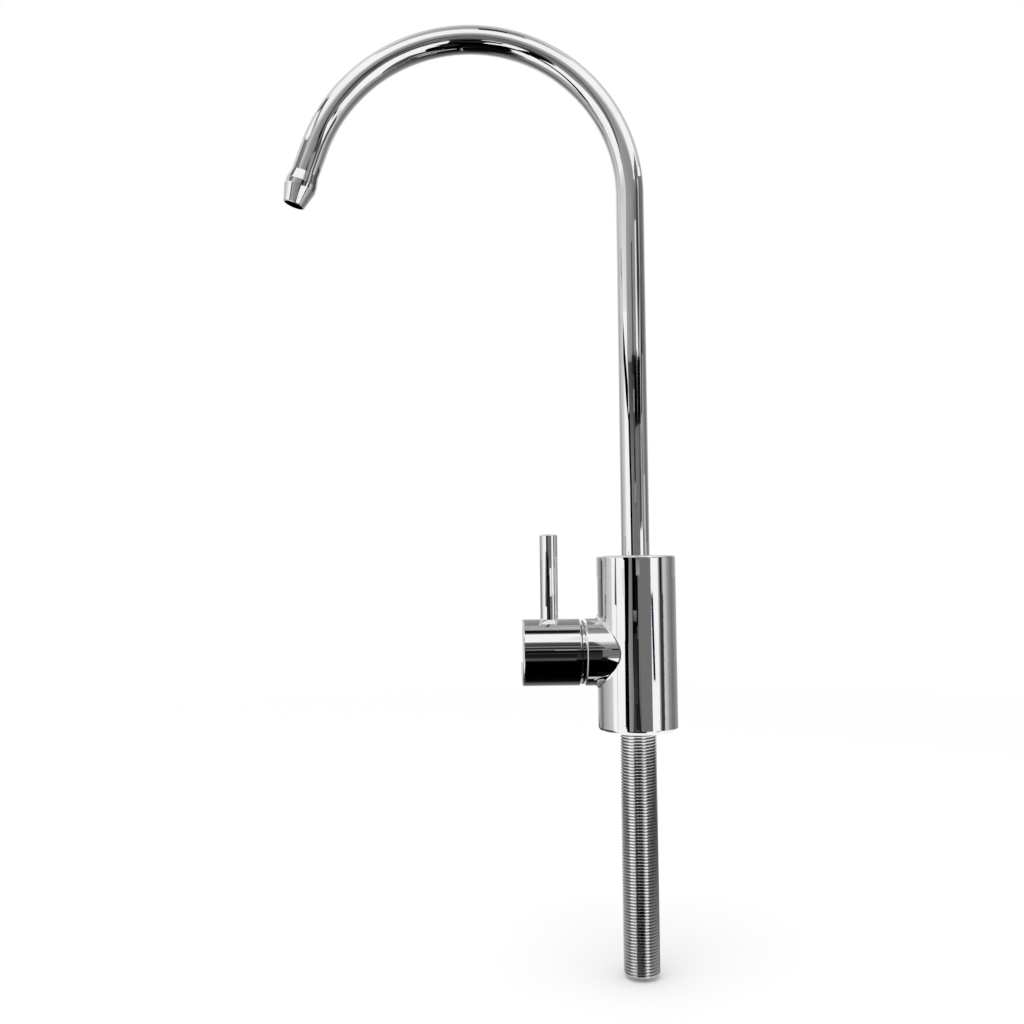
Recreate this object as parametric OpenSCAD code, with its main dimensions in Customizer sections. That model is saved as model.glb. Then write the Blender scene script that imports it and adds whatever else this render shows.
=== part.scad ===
// Drinking water filter tap with a gooseneck spout and a side lever.
// The origin is on the tap's axis at the underside of its body, where it stands on the worktop.
// +Z is up. The shank goes down through the worktop, and the spout and the handle point to -X.

/* [Body] */
// Outside diameter of the body
body_d = 26.4; // [25:0.1:32]
// Height of the body above the worktop
body_h = 58; // [56:0.5:80]
// Radius of the rounded edge round the top of the body
body_top_edge = 0.8; // [0.3:0.1:1.2]
// Radius of the rounded edge round the foot of the body
body_foot_edge = 1.4; // [0.4:0.1:1.8]
// Height of the handle's axis above the worktop
branch_z = 26.2; // [23:0.1:27.5]
// Outside diameter of the side branch that carries the handle
branch_d = 22.6; // [21.4:0.1:24]
// Distance from the tap's axis to the end of the side branch
branch_reach = 17.6; // [16.6:0.1:22]
// Bevel round the end of the side branch
branch_bevel = 0.4; // [0.2:0.1:0.6]

/* [Shank] */
// Outside diameter of the shank's thread
shank_d = 12; // [11.6:0.1:14]
// Length of the shank below the worktop
shank_len = 80; // [40:1:120]
// Pitch of the shank's thread
thread_pitch = 1; // [0.8:0.05:1.5]
// Depth of the shank's thread
thread_depth = 0.6; // [0.4:0.05:0.8]
// Width of the flat crest of the thread
thread_crest = 0.16; // [0.1:0.02:0.3]
// Bevel at the lower end of the shank
shank_bevel = 0.8; // [0.4:0.1:1.2]
// Diameter of the water way through the shank
shank_bore_d = 5; // [3:0.1:6]
// Diameter of the socket for the supply tube in the lower end of the shank
inlet_d = 6.5; // [6.1:0.1:7.5]
// Depth of the socket for the supply tube
inlet_depth = 12; // [6:1:20]
// Diameter of the plain end of the shank that is screwed into the body
spigot_d = 11; // [10:0.1:11.4]
// Length of the shank inside the body
spigot_len = 10.6; // [6:0.1:13]

/* [Spout] */
// Height of the top of the gooseneck above the worktop
spout_h = 240; // [200:1:280]
// Outside diameter of the spout tube
tube_d = 9.5; // [8.5:0.1:10]
// Wall of the spout tube
tube_wall = 1; // [0.8:0.1:1.2]
// Bend radius of the side of the gooseneck that rises from the body
rise_bend_r = 54; // [40:1:70]
// Bend radius of the side of the gooseneck that falls to the tip
fall_bend_r = 56.6; // [40:0.1:70]
// Angle that the gooseneck turns through
bend_angle = 160.5; // [120:0.5:180]
// Straight length of tube between the bend and the tip
tail_len = 9.5; // [2:0.1:40]

/* [Spout tip] */
// Largest diameter of the tip
tip_d = 10.9; // [10.2:0.1:13]
// Length over which the tip widens from the tube
tip_flare_len = 3.4; // [2:0.1:8]
// Length of the widest part of the tip
tip_band_len = 1.9; // [0.6:0.1:3]
// Length over which the tip narrows to the outlet
tip_taper_len = 5.9; // [5.7:0.1:12]
// Diameter of the end face of the tip
tip_end_d = 7.5; // [7.2:0.1:9]
// Diameter of the outlet
outlet_d = 6.6; // [6:0.1:6.8]
// Depth of the open outlet in front of the flow straightener
outlet_depth = 2; // [1.5:0.1:3]

/* [Spout bearing] */
// Diameter of the ferrule soldered on the foot of the spout tube
ferrule_d = 14.2; // [13.4:0.1:15]
// Length of the ferrule below its flange
ferrule_len = 13; // [11.5:0.1:14]
// Diameter of the ferrule's flange
flange_d = 17.2; // [16.4:0.1:18]
// Thickness of the ferrule's flange
flange_t = 1.5; // [1:0.1:2]
// Thickness of the plastic washer under the flange
thrust_washer_t = 0.8; // [0.6:0.1:1.2]
// Length of the bush that is screwed in over the flange
bush_len = 3.8; // [3:0.1:5]

/* [Handle] */
// Outside diameter of the handle hub
hub_d = 22.4; // [21.4:0.1:24]
// Length of the handle hub
hub_len = 19.3; // [18:0.1:26]
// Radius of the rounded edge round the outer end of the hub
hub_edge = 0.8; // [0.3:0.1:1.5]
// Bevel round the inner end of the hub
hub_bevel = 0.4; // [0.2:0.1:0.6]
// Diameter of the lever
lever_d = 6; // [5.4:0.1:7]
// Height of the lever's top above the hub's axis
lever_top = 39.1; // [30:0.1:50]
// Distance of the lever from the outer end of the hub
lever_inset = 9.3; // [8:0.1:11]
// Rounded edge round the top of the lever
lever_edge = 0.5; // [0.2:0.1:0.8]
// Diameter of the lever's screwed foot
lever_foot_d = 4.8; // [4:0.1:5]
// Diameter of the grub screw that clamps the hub to the spindle
grub_d = 4; // [3:0.5:4]

/* [Bonnet ring] */
// Outside diameter of the ring between the branch and the hub
ring_d = 21.6; // [20.8:0.1:22.4]
// Width of the ring
ring_w = 1.3; // [1:0.1:1.6]
// Width of the groove between the ring's rim and the branch
ring_groove = 0.35; // [0.2:0.05:0.5]

/* [Cartridge] */
// Diameter of the cavity for the valve cartridge
cavity_d = 15; // [14.6:0.1:15.6]
// Distance of the valve seat from the tap's axis
seat_x = 3.4; // [3.2:0.1:4]
// Outside diameter of the cartridge round its discs
cage_d = 12.4; // [12.2:0.1:12.8]
// Diameter of the ceramic discs
disc_d = 9.7; // [9.3:0.1:9.9]
// Thickness of each ceramic disc
disc_t = 2; // [1.8:0.1:2.4]
// Thickness of the rubber seat seal
seat_seal_t = 1.6; // [1.2:0.1:2]
// Diameter of the spindle
spindle_d = 6; // [5.6:0.1:6.4]
// Width across the flats of the cartridge's hexagon
hex_af = 14; // [13.5:0.5:15]
// Thickness of the cartridge's hexagon
hex_t = 2.65; // [2:0.05:3.2]
// Width of the square end of the spindle
square_w = 4.4; // [3.8:0.1:4.6]
// Angle that the handle turns through from closed to open
quarter_turn = 90; // [60:5:95]

/* [Hidden] */
$fn = 96;
cut = 0.5;          // how far a cut runs past the face that it opens
least_step = 0.001; // points of an outline that are nearer than this are one point

// Clearances
seat_gap = 0.05;    // all round a piece that is screwed, soldered or pressed into another
run_gap = 0.05;     // all round a shaft that turns in its bore
seal_gap = 0.02;    // all round a rubber ring in its gland
turn_gap = 0.3;     // between the faces of pieces that turn past each other
disc_gap = 0.03;    // between the two lapped ceramic faces
disc_side_gap = 0.1;    // round the discs in their cage
gland_side_gap = 0.15;  // at each side of a rubber ring in its groove
stack_gap = 0.1;        // between the washer, the clip and the hexagon on the spindle

// Colours
CHROME = [0.80, 0.81, 0.83];
BRASS = [0.78, 0.62, 0.32];
RUBBER = [0.08, 0.08, 0.09];
CERAMIC = [0.93, 0.91, 0.86];
PLASTIC = [0.90, 0.90, 0.88];
BLACK_PLASTIC = [0.05, 0.05, 0.06];
STEEL = [0.66, 0.67, 0.69];

// Body and its passages
body_r = body_d / 2;
branch_r = branch_d / 2;
cavity_r = cavity_d / 2;
cavity_len = branch_reach - seat_x;
inlet_way_r = 2.4;
seat_port_r = 2.2;
seat_port_edge = 0.2;                    // the inlet way rises this far past the seat port
outlet_way_r = 1.5;
outlet_way_x = seat_x + outlet_way_r;
shank_seal_t = 1.4;
shank_socket_depth = spigot_len + shank_seal_t;
socket_mouth_r = shank_d / 2 + 0.4;      // the socket is wider at its mouth, clear of the thread
socket_mouth_h = 1.2;
shank_neck_h = 1;                        // cone between the thread and the plain end
groove_in_r = 7.6;                       // groove for the base seal
groove_out_r = 10;
groove_depth = 2;
base_seal_inset = 0.05;

// Spout bearing, from the top of the body down
bush_lap = 0.2;                          // the bush reaches this far past the flange
bush_r = flange_d / 2 + bush_lap;
bush_socket_r = bush_r + seat_gap;
bush_bottom_z = body_h - bush_len;
flange_top_z = bush_bottom_z - seat_gap;
flange_bottom_z = flange_top_z - flange_t;
shoulder_z = flange_bottom_z - seat_gap - thrust_washer_t;
ferrule_r = ferrule_d / 2;
stem_socket_r = ferrule_r + run_gap;
ferrule_bottom_z = shoulder_z - ferrule_len;
ferrule_end_gap = 0.5;
stem_socket_z = ferrule_bottom_z - ferrule_end_gap;
stop_lip = 1;                            // lip inside the ferrule that the tube stands on
tube_foot_z = ferrule_bottom_z + stop_lip;
tube_r = tube_d / 2;
tube_bore_r = tube_r - tube_wall;

// Rubber rings on the ferrule
ferrule_ring_r = 0.75;                   // half of the ring's thickness
ferrule_ring_mid_r = stem_socket_r - seal_gap - ferrule_ring_r;
ferrule_ring_inset = 3;                  // from the end of the ferrule to the lower ring
ferrule_ring_spacing = 4.5;
ferrule_ring_z = [for (i = [0, 1]) ferrule_bottom_z + ferrule_ring_inset + i * ferrule_ring_spacing];

// Gooseneck, as the middle line of the tube
apex_z = spout_h - tube_r;
rise_centre_z = apex_z - rise_bend_r;
fall_centre_z = apex_z - fall_bend_r;
fall_angle = bend_angle - 90;
tail_lap = 1;                            // the straight tail starts this far inside the bend
tail_step = 0.02;                        // and is finer by this much, so that it meets the bend at a clean edge
tip_len = tip_flare_len + tip_band_len + tip_taper_len;
tip_spigot_len = 5;
tip_spigot_r = tube_bore_r - seat_gap;
tip_spigot_wall = 0.9;
tip_bore_r = tip_spigot_r - tip_spigot_wall;
outlet_r = outlet_d / 2;
straightener_len = 3;
straightener_ledge = 0.25;               // the outlet is wider than the straightener by this, all round
straightener_r = outlet_r - straightener_ledge;

// Cartridge, measured from the valve seat along the handle's axis
fixed_disc_at = seat_seal_t;
moving_disc_at = fixed_disc_at + disc_t + disc_gap;
moving_disc_end = moving_disc_at + disc_t;
tang_depth = 1;
tang_w = 2.2;
flange_stand_off = 0.4;                   // from the moving disc to the spindle's flange
spindle_flange_at = moving_disc_end + flange_stand_off;
spindle_flange_t = 1.3;
spindle_flange_r = 4.2;
slip_washer_t = 0.6;
slip_washer_at = spindle_flange_at + spindle_flange_t + seat_gap;
cage_end = slip_washer_at + slip_washer_t + seat_gap;
cage_r = cage_d / 2;
disc_r = disc_d / 2;
cage_bore_r = disc_r + disc_side_gap;
disc_ear_w = 1.6;
disc_ear_inset = 0.3;                     // the ears end this far inside the cage's outer face
spindle_r = spindle_d / 2;
spindle_bore_r = spindle_r + run_gap;
cartridge_thread_gap = 0.1;
thread_r = cavity_r - cartridge_thread_gap;
hex_at = cavity_len + ring_w + seat_gap;
hex_end = hex_at + hex_t;
crown_in_r = 5.3;
crown_out_r = 6.6;
crown_h = 1.3;
stop_t = 1.1;
stop_at = hex_end + stack_gap;
clip_at = stop_at + stop_t + stack_gap;
clip_t = 0.8;                             // width of the clip's groove
clip_groove_r = spindle_r - 0.6;
square_at = clip_at + clip_t + 2 * stack_gap;
cartridge_ring_r = 0.6;
cartridge_ring_mid_r = cavity_r - seal_gap - cartridge_ring_r;
cartridge_ring_inset = 1.5;
cartridge_ring_at = cavity_len - cartridge_ring_inset;
spindle_ring_r = 0.53;
spindle_ring_mid_r = spindle_bore_r - seal_gap - spindle_ring_r;
spindle_ring_inset = 2.2;                 // from the cage to the inner ring
spindle_ring_spacing = 3;
spindle_ring_at = [for (i = [0, 1]) cage_end + spindle_ring_inset + i * spindle_ring_spacing];
port_in_r = 1;
port_out_r = 4.1;
port_angle = 76;
stop_tab_angle = 40;
stop_play = 1;                            // play at each end of the handle's travel, in degrees

// Handle, measured from the valve seat along the handle's axis
hub_at = hex_at - seat_gap + turn_gap;
hub_end = hub_at + hub_len;
hub_r = hub_d / 2;
hub_cavity_r = 9;
hub_floor_gap = 0.9;                      // from the clip to the floor of the hub's hollow
hub_cavity_end = clip_at + clip_t + hub_floor_gap;
hub_cap_t = 5.5;                          // solid metal at the outer end of the hub
hub_socket_end = hub_end - hub_cap_t;
spindle_end_gap = 0.5;
lever_at = hub_end - lever_inset;
lever_r = lever_d / 2;
lever_seat_depth = 0.65;                  // the lever stands in a flat seat of this depth
lever_seat_r = hub_r - lever_seat_depth;
lever_foot_end_r = 5.6;                   // the lever's foot ends this far from the hub's axis
lever_foot_gap = 0.4;
grub_r = grub_d / 2;
grub_tip_r = square_w / 2;
grub_head_depth = 1.2;
grub_head_r = hub_r - grub_head_depth;
grub_key_af = 2;

// Points along an arc of radius r about centre c, from angle a to angle b
function arc(c, r, a, b, n = 6) = [for (i = [0:n]) c + r * [cos(a + (b - a) * i / n), sin(a + (b - a) * i / n)]];

// Teeth of the thread as an outline, as many as fit below the height high, from the lower end up
function thread_outline(low, high, root, crest) =
    let (n = floor((high - low) / thread_pitch), flank = (thread_pitch - thread_crest) / 2)
    [for (i = [0:n - 1])
        let (z = high - (n - i) * thread_pitch)
        each concat(z - low > least_step ? [[root, z]] : [],
                    [[crest, z + flank], [crest, z + flank + thread_crest]])];

// Puts its children on the handle's axis: their Z runs out from the valve seat, their X is up
module on_handle_axis(at = 0) {
    translate([-seat_x, 0, branch_z]) rotate([0, -90, 0]) translate([0, 0, at]) children();
}

// Puts its children on the end of the bend: their Z runs on along the tube
module on_bend_end(at = 0) {
    translate([-rise_bend_r, 0, fall_centre_z]) rotate([0, -bend_angle, 0])
        translate([fall_bend_r, 0, at]) children();
}

module tube_ring(outer_r, inner_r, length) {
    difference() {
        cylinder(r = outer_r, h = length);
        translate([0, 0, -cut]) cylinder(r = inner_r, h = length + 2 * cut);
    }
}

module o_ring(mid_r, section_r) {
    rotate_extrude() translate([mid_r, 0]) circle(r = section_r);
}

// Sector of a ring between two radii, centred on the angle at, angle wide
module sector(in_r, out_r, at, angle, length) {
    outline = concat(arc([0, 0], out_r, at - angle / 2, at + angle / 2, 12),
                     arc([0, 0], in_r, at + angle / 2, at - angle / 2, 12));
    linear_extrude(length) polygon(outline);
}

// Solid rod along the gooseneck's middle line, with straight ends of the given lengths
module gooseneck(r, riser_foot_z, tail) {
    translate([0, 0, riser_foot_z]) cylinder(r = r, h = rise_centre_z - riser_foot_z);
    translate([-rise_bend_r, 0, rise_centre_z]) rotate([90, 0, 0])
        rotate_extrude(angle = 90) translate([rise_bend_r, 0]) circle(r = r);
    translate([-rise_bend_r, 0, fall_centre_z]) rotate([90, 0, 0]) rotate([0, 0, 90])
        rotate_extrude(angle = fall_angle) translate([fall_bend_r, 0]) circle(r = r);
    on_bend_end(-tail_lap) cylinder(r = r - tail_step, h = tail_lap + tail);
}

// Brass casting with a side branch: shank socket below, cartridge cavity in the branch, spout socket above
module tap_body() {
    color(CHROME) difference() {
        union() {
            rotate_extrude() polygon(concat([[0, 0]],
                arc([body_r - body_foot_edge, body_foot_edge], body_foot_edge, -90, 0),
                arc([body_r - body_top_edge, body_h - body_top_edge], body_top_edge, 0, 90),
                [[0, body_h]]));
            translate([0, 0, branch_z]) rotate([0, -90, 0]) {
                cylinder(r = branch_r, h = branch_reach - branch_bevel);
                translate([0, 0, branch_reach - branch_bevel])
                    cylinder(r1 = branch_r, r2 = branch_r - branch_bevel, h = branch_bevel);
            }
        }
        // Sockets for the shank and the base seal
        translate([0, 0, -cut]) cylinder(r = spigot_d / 2 + seat_gap, h = shank_socket_depth + cut);
        translate([0, 0, -cut]) cylinder(r = socket_mouth_r, h = socket_mouth_h + cut);
        translate([0, 0, -cut]) tube_ring(groove_out_r, groove_in_r, groove_depth + cut);
        // Water way in: up the middle and out through the valve seat
        cylinder(r = inlet_way_r, h = branch_z + seat_port_r + seat_port_edge);
        on_handle_axis(-seat_x) cylinder(r = seat_port_r, h = seat_x + cut);
        // Cartridge cavity
        on_handle_axis() cylinder(r = cavity_r, h = cavity_len + cut);
        // Water way out: from the cavity up to the spout
        translate([-outlet_way_x, 0, branch_z]) cylinder(r = outlet_way_r, h = stem_socket_z - branch_z + cut);
        // Spout socket
        translate([0, 0, stem_socket_z]) cylinder(r = stem_socket_r, h = shoulder_z - stem_socket_z + cut);
        translate([0, 0, shoulder_z]) cylinder(r = bush_socket_r, h = body_h - shoulder_z + cut);
    }
}

// Rubber ring in the groove of the body's underside
module base_seal() {
    color(RUBBER) translate([0, 0, base_seal_inset])
        tube_ring(groove_out_r - seat_gap, groove_in_r + seat_gap, groove_depth - base_seal_inset);
}

// Threaded brass pipe below the body
module shank() {
    crest = shank_d / 2;
    root = crest - thread_depth;
    spigot_r = spigot_d / 2;
    color(CHROME) difference() {
        rotate_extrude() polygon(concat(
            [[0, -shank_len], [root - shank_bevel, -shank_len], [root, -shank_len + shank_bevel]],
            thread_outline(-shank_len + shank_bevel, 0, root, crest),
            [[root, 0], [spigot_r, shank_neck_h], [spigot_r, spigot_len], [0, spigot_len]]));
        translate([0, 0, -shank_len - cut]) cylinder(d = shank_bore_d, h = shank_len + spigot_len + 2 * cut);
        translate([0, 0, -shank_len - cut]) cylinder(d = inlet_d, h = inlet_depth + cut);
    }
}

// Fibre washer between the shank and the bottom of its socket
module shank_seal() {
    color(RUBBER) translate([0, 0, spigot_len])
        tube_ring(spigot_d / 2 - seat_gap, shank_bore_d / 2, shank_seal_t);
}

// Bent brass tube, from inside the ferrule to the tip
module spout_tube() {
    color(CHROME) difference() {
        gooseneck(tube_r, tube_foot_z, tail_len);
        gooseneck(tube_bore_r, tube_foot_z - cut, tail_len + cut);
    }
}

// Brass sleeve soldered on the foot of the tube, with grooves for two rubber rings
module spout_ferrule() {
    groove_half = ferrule_ring_r + gland_side_gap;
    groove_floor_r = ferrule_ring_mid_r - ferrule_ring_r - seal_gap;
    color(BRASS) difference() {
        union() {
            translate([0, 0, ferrule_bottom_z]) cylinder(r = ferrule_r, h = flange_top_z - ferrule_bottom_z);
            translate([0, 0, flange_bottom_z]) cylinder(d = flange_d, h = flange_t);
        }
        translate([0, 0, tube_foot_z]) cylinder(r = tube_r + seat_gap, h = flange_top_z - tube_foot_z + cut);
        translate([0, 0, ferrule_bottom_z - cut]) cylinder(r = tube_bore_r, h = stop_lip + 2 * cut);
        for (z = ferrule_ring_z)
            translate([0, 0, z - groove_half]) tube_ring(ferrule_r + cut, groove_floor_r, 2 * groove_half);
    }
}

module spout_o_ring_lower() {
    color(RUBBER) translate([0, 0, ferrule_ring_z[0]]) o_ring(ferrule_ring_mid_r, ferrule_ring_r);
}

module spout_o_ring_upper() {
    color(RUBBER) translate([0, 0, ferrule_ring_z[1]]) o_ring(ferrule_ring_mid_r, ferrule_ring_r);
}

// Plastic washer that the ferrule's flange turns on
module spout_thrust_washer() {
    color(PLASTIC) translate([0, 0, shoulder_z])
        tube_ring(bush_socket_r - seat_gap, stem_socket_r + seat_gap, thrust_washer_t);
}

// Ring screwed in flush with the top of the body, which holds the spout down and guides it
module spout_retaining_bush() {
    key_hole_r = 0.8;
    key_hole_at = (tube_r + bush_r) / 2;
    bevel = 0.3;
    color(CHROME) difference() {
        translate([0, 0, bush_bottom_z]) {
            cylinder(r = bush_r, h = bush_len - bevel);
            translate([0, 0, bush_len - bevel]) cylinder(r1 = bush_r, r2 = bush_r - bevel, h = bevel);
        }
        translate([0, 0, bush_bottom_z - cut]) cylinder(r = tube_r + run_gap, h = bush_len + 2 * cut);
        for (side = [-1, 1])
            translate([0, side * key_hole_at, body_h - bush_len / 2]) cylinder(r = key_hole_r, h = bush_len);
    }
}

// Tip soldered into the end of the tube: it widens, then narrows to the outlet
module spout_tip() {
    rim = 0.15;
    chamber_r = straightener_r + seat_gap;
    chamber_at = tip_len - outlet_depth - straightener_len;
    color(CHROME) on_bend_end(tail_len) difference() {
        rotate_extrude() polygon([
            [0, -tip_spigot_len], [tip_spigot_r, -tip_spigot_len], [tip_spigot_r, 0], [tube_r, 0],
            [tip_d / 2, tip_flare_len], [tip_d / 2, tip_flare_len + tip_band_len],
            [tip_end_d / 2, tip_len - rim], [tip_end_d / 2 - rim, tip_len], [0, tip_len]]);
        translate([0, 0, -tip_spigot_len - cut]) cylinder(r = tip_bore_r, h = tip_spigot_len + tip_len);
        translate([0, 0, chamber_at]) cylinder(r = chamber_r, h = straightener_len + cut);
        translate([0, 0, tip_len - outlet_depth]) cylinder(r = outlet_r, h = outlet_depth + cut);
    }
}

// Black plastic plug with small holes that steadies the jet
module outlet_straightener() {
    hole_r = 0.5;
    hole_ring_r = (straightener_r + hole_r) / 2;
    color(BLACK_PLASTIC) on_bend_end(tail_len + tip_len - outlet_depth - straightener_len) difference() {
        cylinder(r = straightener_r, h = straightener_len);
        translate([0, 0, -cut]) cylinder(r = hole_r, h = straightener_len + 2 * cut);
        for (i = [0:5])
            rotate(60 * i) translate([hole_ring_r, 0, -cut]) cylinder(r = hole_r, h = straightener_len + 2 * cut);
    }
}

// Brass headwork screwed into the branch: a cage for the discs, a hexagon and the crown with the stops
module cartridge_housing() {
    groove_half = cartridge_ring_r + gland_side_gap;
    window_r = 0.9;
    window_lead = 0.6;
    stop_window = quarter_turn + stop_tab_angle + 2 * stop_play;
    color(BRASS) on_handle_axis() difference() {
        union() {
            cylinder(r = cage_r, h = cage_end);
            translate([0, 0, cage_end]) cylinder(r = thread_r, h = hex_at - cage_end);
            translate([0, 0, hex_at]) cylinder(r = hex_af / 2 / cos(30), h = hex_t, $fn = 6);
            translate([0, 0, hex_end])
                sector(crown_in_r, crown_out_r, -90, 360 - stop_window, crown_h);
        }
        translate([0, 0, -cut]) cylinder(r = cage_bore_r, h = cage_end + cut);
        translate([0, 0, cage_end - cut]) cylinder(r = spindle_bore_r, h = hex_end - cage_end + 2 * cut);
        translate([0, 0, cartridge_ring_at - groove_half])
            tube_ring(thread_r + cut, cartridge_ring_mid_r - cartridge_ring_r - seal_gap, 2 * groove_half);
        for (a = [45, 135])
            rotate(a) translate([0, 0, moving_disc_end + window_lead]) rotate([0, 90, 0])
                cylinder(r = window_r, h = 4 * cage_r, center = true);
        // Slots that keep the fixed disc from turning
        translate([-cage_r - cut, -disc_ear_w / 2 - seat_gap, -cut])
            cube([2 * cage_r + 2 * cut, disc_ear_w + 2 * seat_gap, fixed_disc_at + disc_t + cut]);
    }
}

// Rubber ring that seals the cartridge in the branch
module cartridge_o_ring() {
    color(RUBBER) on_handle_axis(cartridge_ring_at) o_ring(cartridge_ring_mid_r, cartridge_ring_r);
}

// Chromed ring clamped under the hexagon, seen as a fine line between the branch and the hub
module bonnet_ring() {
    rim_r = ring_d / 2;
    step_depth = 0.9;
    step_r = rim_r - step_depth;
    bevel = 0.2;
    bore_r = thread_r + seat_gap;
    color(CHROME) on_handle_axis(cavity_len) rotate_extrude() polygon([
        [bore_r, 0], [step_r, 0], [step_r, ring_groove], [rim_r - bevel, ring_groove],
        [rim_r, ring_groove + bevel], [rim_r, ring_w - bevel], [rim_r - bevel, ring_w], [bore_r, ring_w]]);
}

// Rubber ring pressed between the fixed disc and the valve seat
module seat_seal() {
    port_clearance = 0.1;
    color(RUBBER) on_handle_axis() tube_ring(cage_bore_r - seat_gap, seat_port_r + port_clearance, seat_seal_t);
}

// Ceramic disc with two ports, held by its ears in the cage
module fixed_disc() {
    color(CERAMIC) on_handle_axis(fixed_disc_at) difference() {
        union() {
            cylinder(r = disc_r, h = disc_t);
            translate([disc_ear_inset - cage_r, -disc_ear_w / 2, 0])
                cube([2 * (cage_r - disc_ear_inset), disc_ear_w, disc_t]);
        }
        for (a = [0, 180])
            translate([0, 0, -cut]) sector(port_in_r, port_out_r, a + 90, port_angle, disc_t + 2 * cut);
    }
}

// Ceramic disc that turns with the spindle, with its ports across those of the fixed disc when closed
module moving_disc() {
    color(CERAMIC) on_handle_axis(moving_disc_at) difference() {
        cylinder(r = disc_r, h = disc_t);
        for (a = [0, 180])
            translate([0, 0, -cut]) sector(port_in_r, port_out_r, a, port_angle, disc_t + 2 * cut);
        translate([-disc_r - cut, -tang_w / 2, disc_t - tang_depth])
            cube([2 * disc_r + 2 * cut, tang_w, tang_depth + cut]);
    }
}

// Brass spindle: a tang in the moving disc, a flange, two ring grooves and a square end
module spindle() {
    groove_half = spindle_ring_r + gland_side_gap;
    tang_gap = 0.06;
    tang_half_len = spindle_flange_r - 0.4;
    color(BRASS) on_handle_axis() difference() {
        union() {
            translate([-tang_half_len, -tang_w / 2 + tang_gap, moving_disc_end - tang_depth + tang_gap])
                cube([2 * tang_half_len, tang_w - 2 * tang_gap, flange_stand_off + tang_depth]);
            translate([0, 0, spindle_flange_at]) cylinder(r = spindle_flange_r, h = spindle_flange_t);
            translate([0, 0, spindle_flange_at]) cylinder(r = spindle_r, h = square_at - spindle_flange_at);
            translate([-square_w / 2, -square_w / 2, square_at - cut])
                cube([square_w, square_w, hub_socket_end - spindle_end_gap - square_at + cut]);
        }
        for (s = spindle_ring_at)
            translate([0, 0, s - groove_half])
                tube_ring(spindle_r + cut, spindle_ring_mid_r - spindle_ring_r - seal_gap, 2 * groove_half);
        translate([0, 0, clip_at]) tube_ring(spindle_r + cut, clip_groove_r, clip_t);
    }
}

// Slippery washer between the spindle's flange and the cartridge
module spindle_slip_washer() {
    rim_gap = 0.2;
    bore_gap = 0.1;
    color(PLASTIC) on_handle_axis(slip_washer_at)
        tube_ring(cage_bore_r - rim_gap, spindle_r + bore_gap, slip_washer_t);
}

module spindle_o_ring_inner() {
    color(RUBBER) on_handle_axis(spindle_ring_at[0]) o_ring(spindle_ring_mid_r, spindle_ring_r);
}

module spindle_o_ring_outer() {
    color(RUBBER) on_handle_axis(spindle_ring_at[1]) o_ring(spindle_ring_mid_r, spindle_ring_r);
}

// Washer keyed on the spindle, whose tab meets the crown at both ends of the quarter turn
module stop_washer() {
    tab_at = 90 + quarter_turn / 2;
    tab_root_r = spindle_r + 0.5;
    tab_tip_inset = 0.1;
    crown_gap = 0.2;
    color(STEEL) on_handle_axis(stop_at) difference() {
        union() {
            cylinder(r = crown_in_r - crown_gap, h = stop_t);
            sector(tab_root_r, crown_out_r - tab_tip_inset, tab_at, stop_tab_angle, stop_t);
        }
        translate([0, 0, -cut]) cylinder(r = spindle_r + seat_gap, h = stop_t + 2 * cut);
    }
}

// Open spring ring in the spindle's groove
module spindle_clip() {
    clip_rise = 1.4;
    clip_r = spindle_r + clip_rise;
    side_gap = 0.05;
    mouth_half = spindle_r - 1;
    color(STEEL) on_handle_axis(clip_at + side_gap) difference() {
        cylinder(r = clip_r, h = clip_t - 2 * side_gap);
        translate([0, 0, -cut]) cylinder(r = clip_groove_r + seat_gap, h = clip_t + 2 * cut);
        translate([-mouth_half, -mouth_half, -cut]) cube([2 * clip_r, 2 * mouth_half, clip_t + 2 * cut]);
    }
}

// Chromed hub, hollow over the cartridge, with a square socket for the spindle
module handle_hub() {
    socket_w = square_w + 2 * seat_gap;
    color(CHROME) on_handle_axis() difference() {
        rotate_extrude() polygon(concat(
            [[0, hub_at], [hub_r - hub_bevel, hub_at], [hub_r, hub_at + hub_bevel]],
            arc([hub_r - hub_edge, hub_end - hub_edge], hub_edge, 0, 90), [[0, hub_end]]));
        translate([0, 0, hub_at - cut]) cylinder(r = hub_cavity_r, h = hub_cavity_end - hub_at + cut);
        translate([-socket_w / 2, -socket_w / 2, hub_cavity_end - cut])
            cube([socket_w, socket_w, hub_socket_end - hub_cavity_end + cut]);
        // Seat and screw hole for the lever, on top
        translate([lever_foot_end_r - lever_foot_gap, 0, lever_at]) rotate([0, 90, 0])
            cylinder(r = lever_foot_d / 2 + seat_gap, h = hub_r);
        translate([lever_seat_r, 0, lever_at]) rotate([0, 90, 0]) cylinder(r = lever_r + seat_gap, h = hub_r);
        // Screw hole for the grub screw, underneath
        translate([0, 0, lever_at]) rotate([0, -90, 0]) cylinder(r = grub_r + seat_gap, h = hub_r + cut);
    }
}

// Chromed rod screwed into the hub
module lever_rod() {
    color(CHROME) on_handle_axis(lever_at) rotate([0, 90, 0]) rotate_extrude() polygon(concat(
        [[0, lever_foot_end_r], [lever_foot_d / 2, lever_foot_end_r], [lever_foot_d / 2, lever_seat_r],
         [lever_r, lever_seat_r]],
        arc([lever_r - lever_edge, lever_top - lever_edge], lever_edge, 0, 90), [[0, lever_top]]));
}

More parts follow.
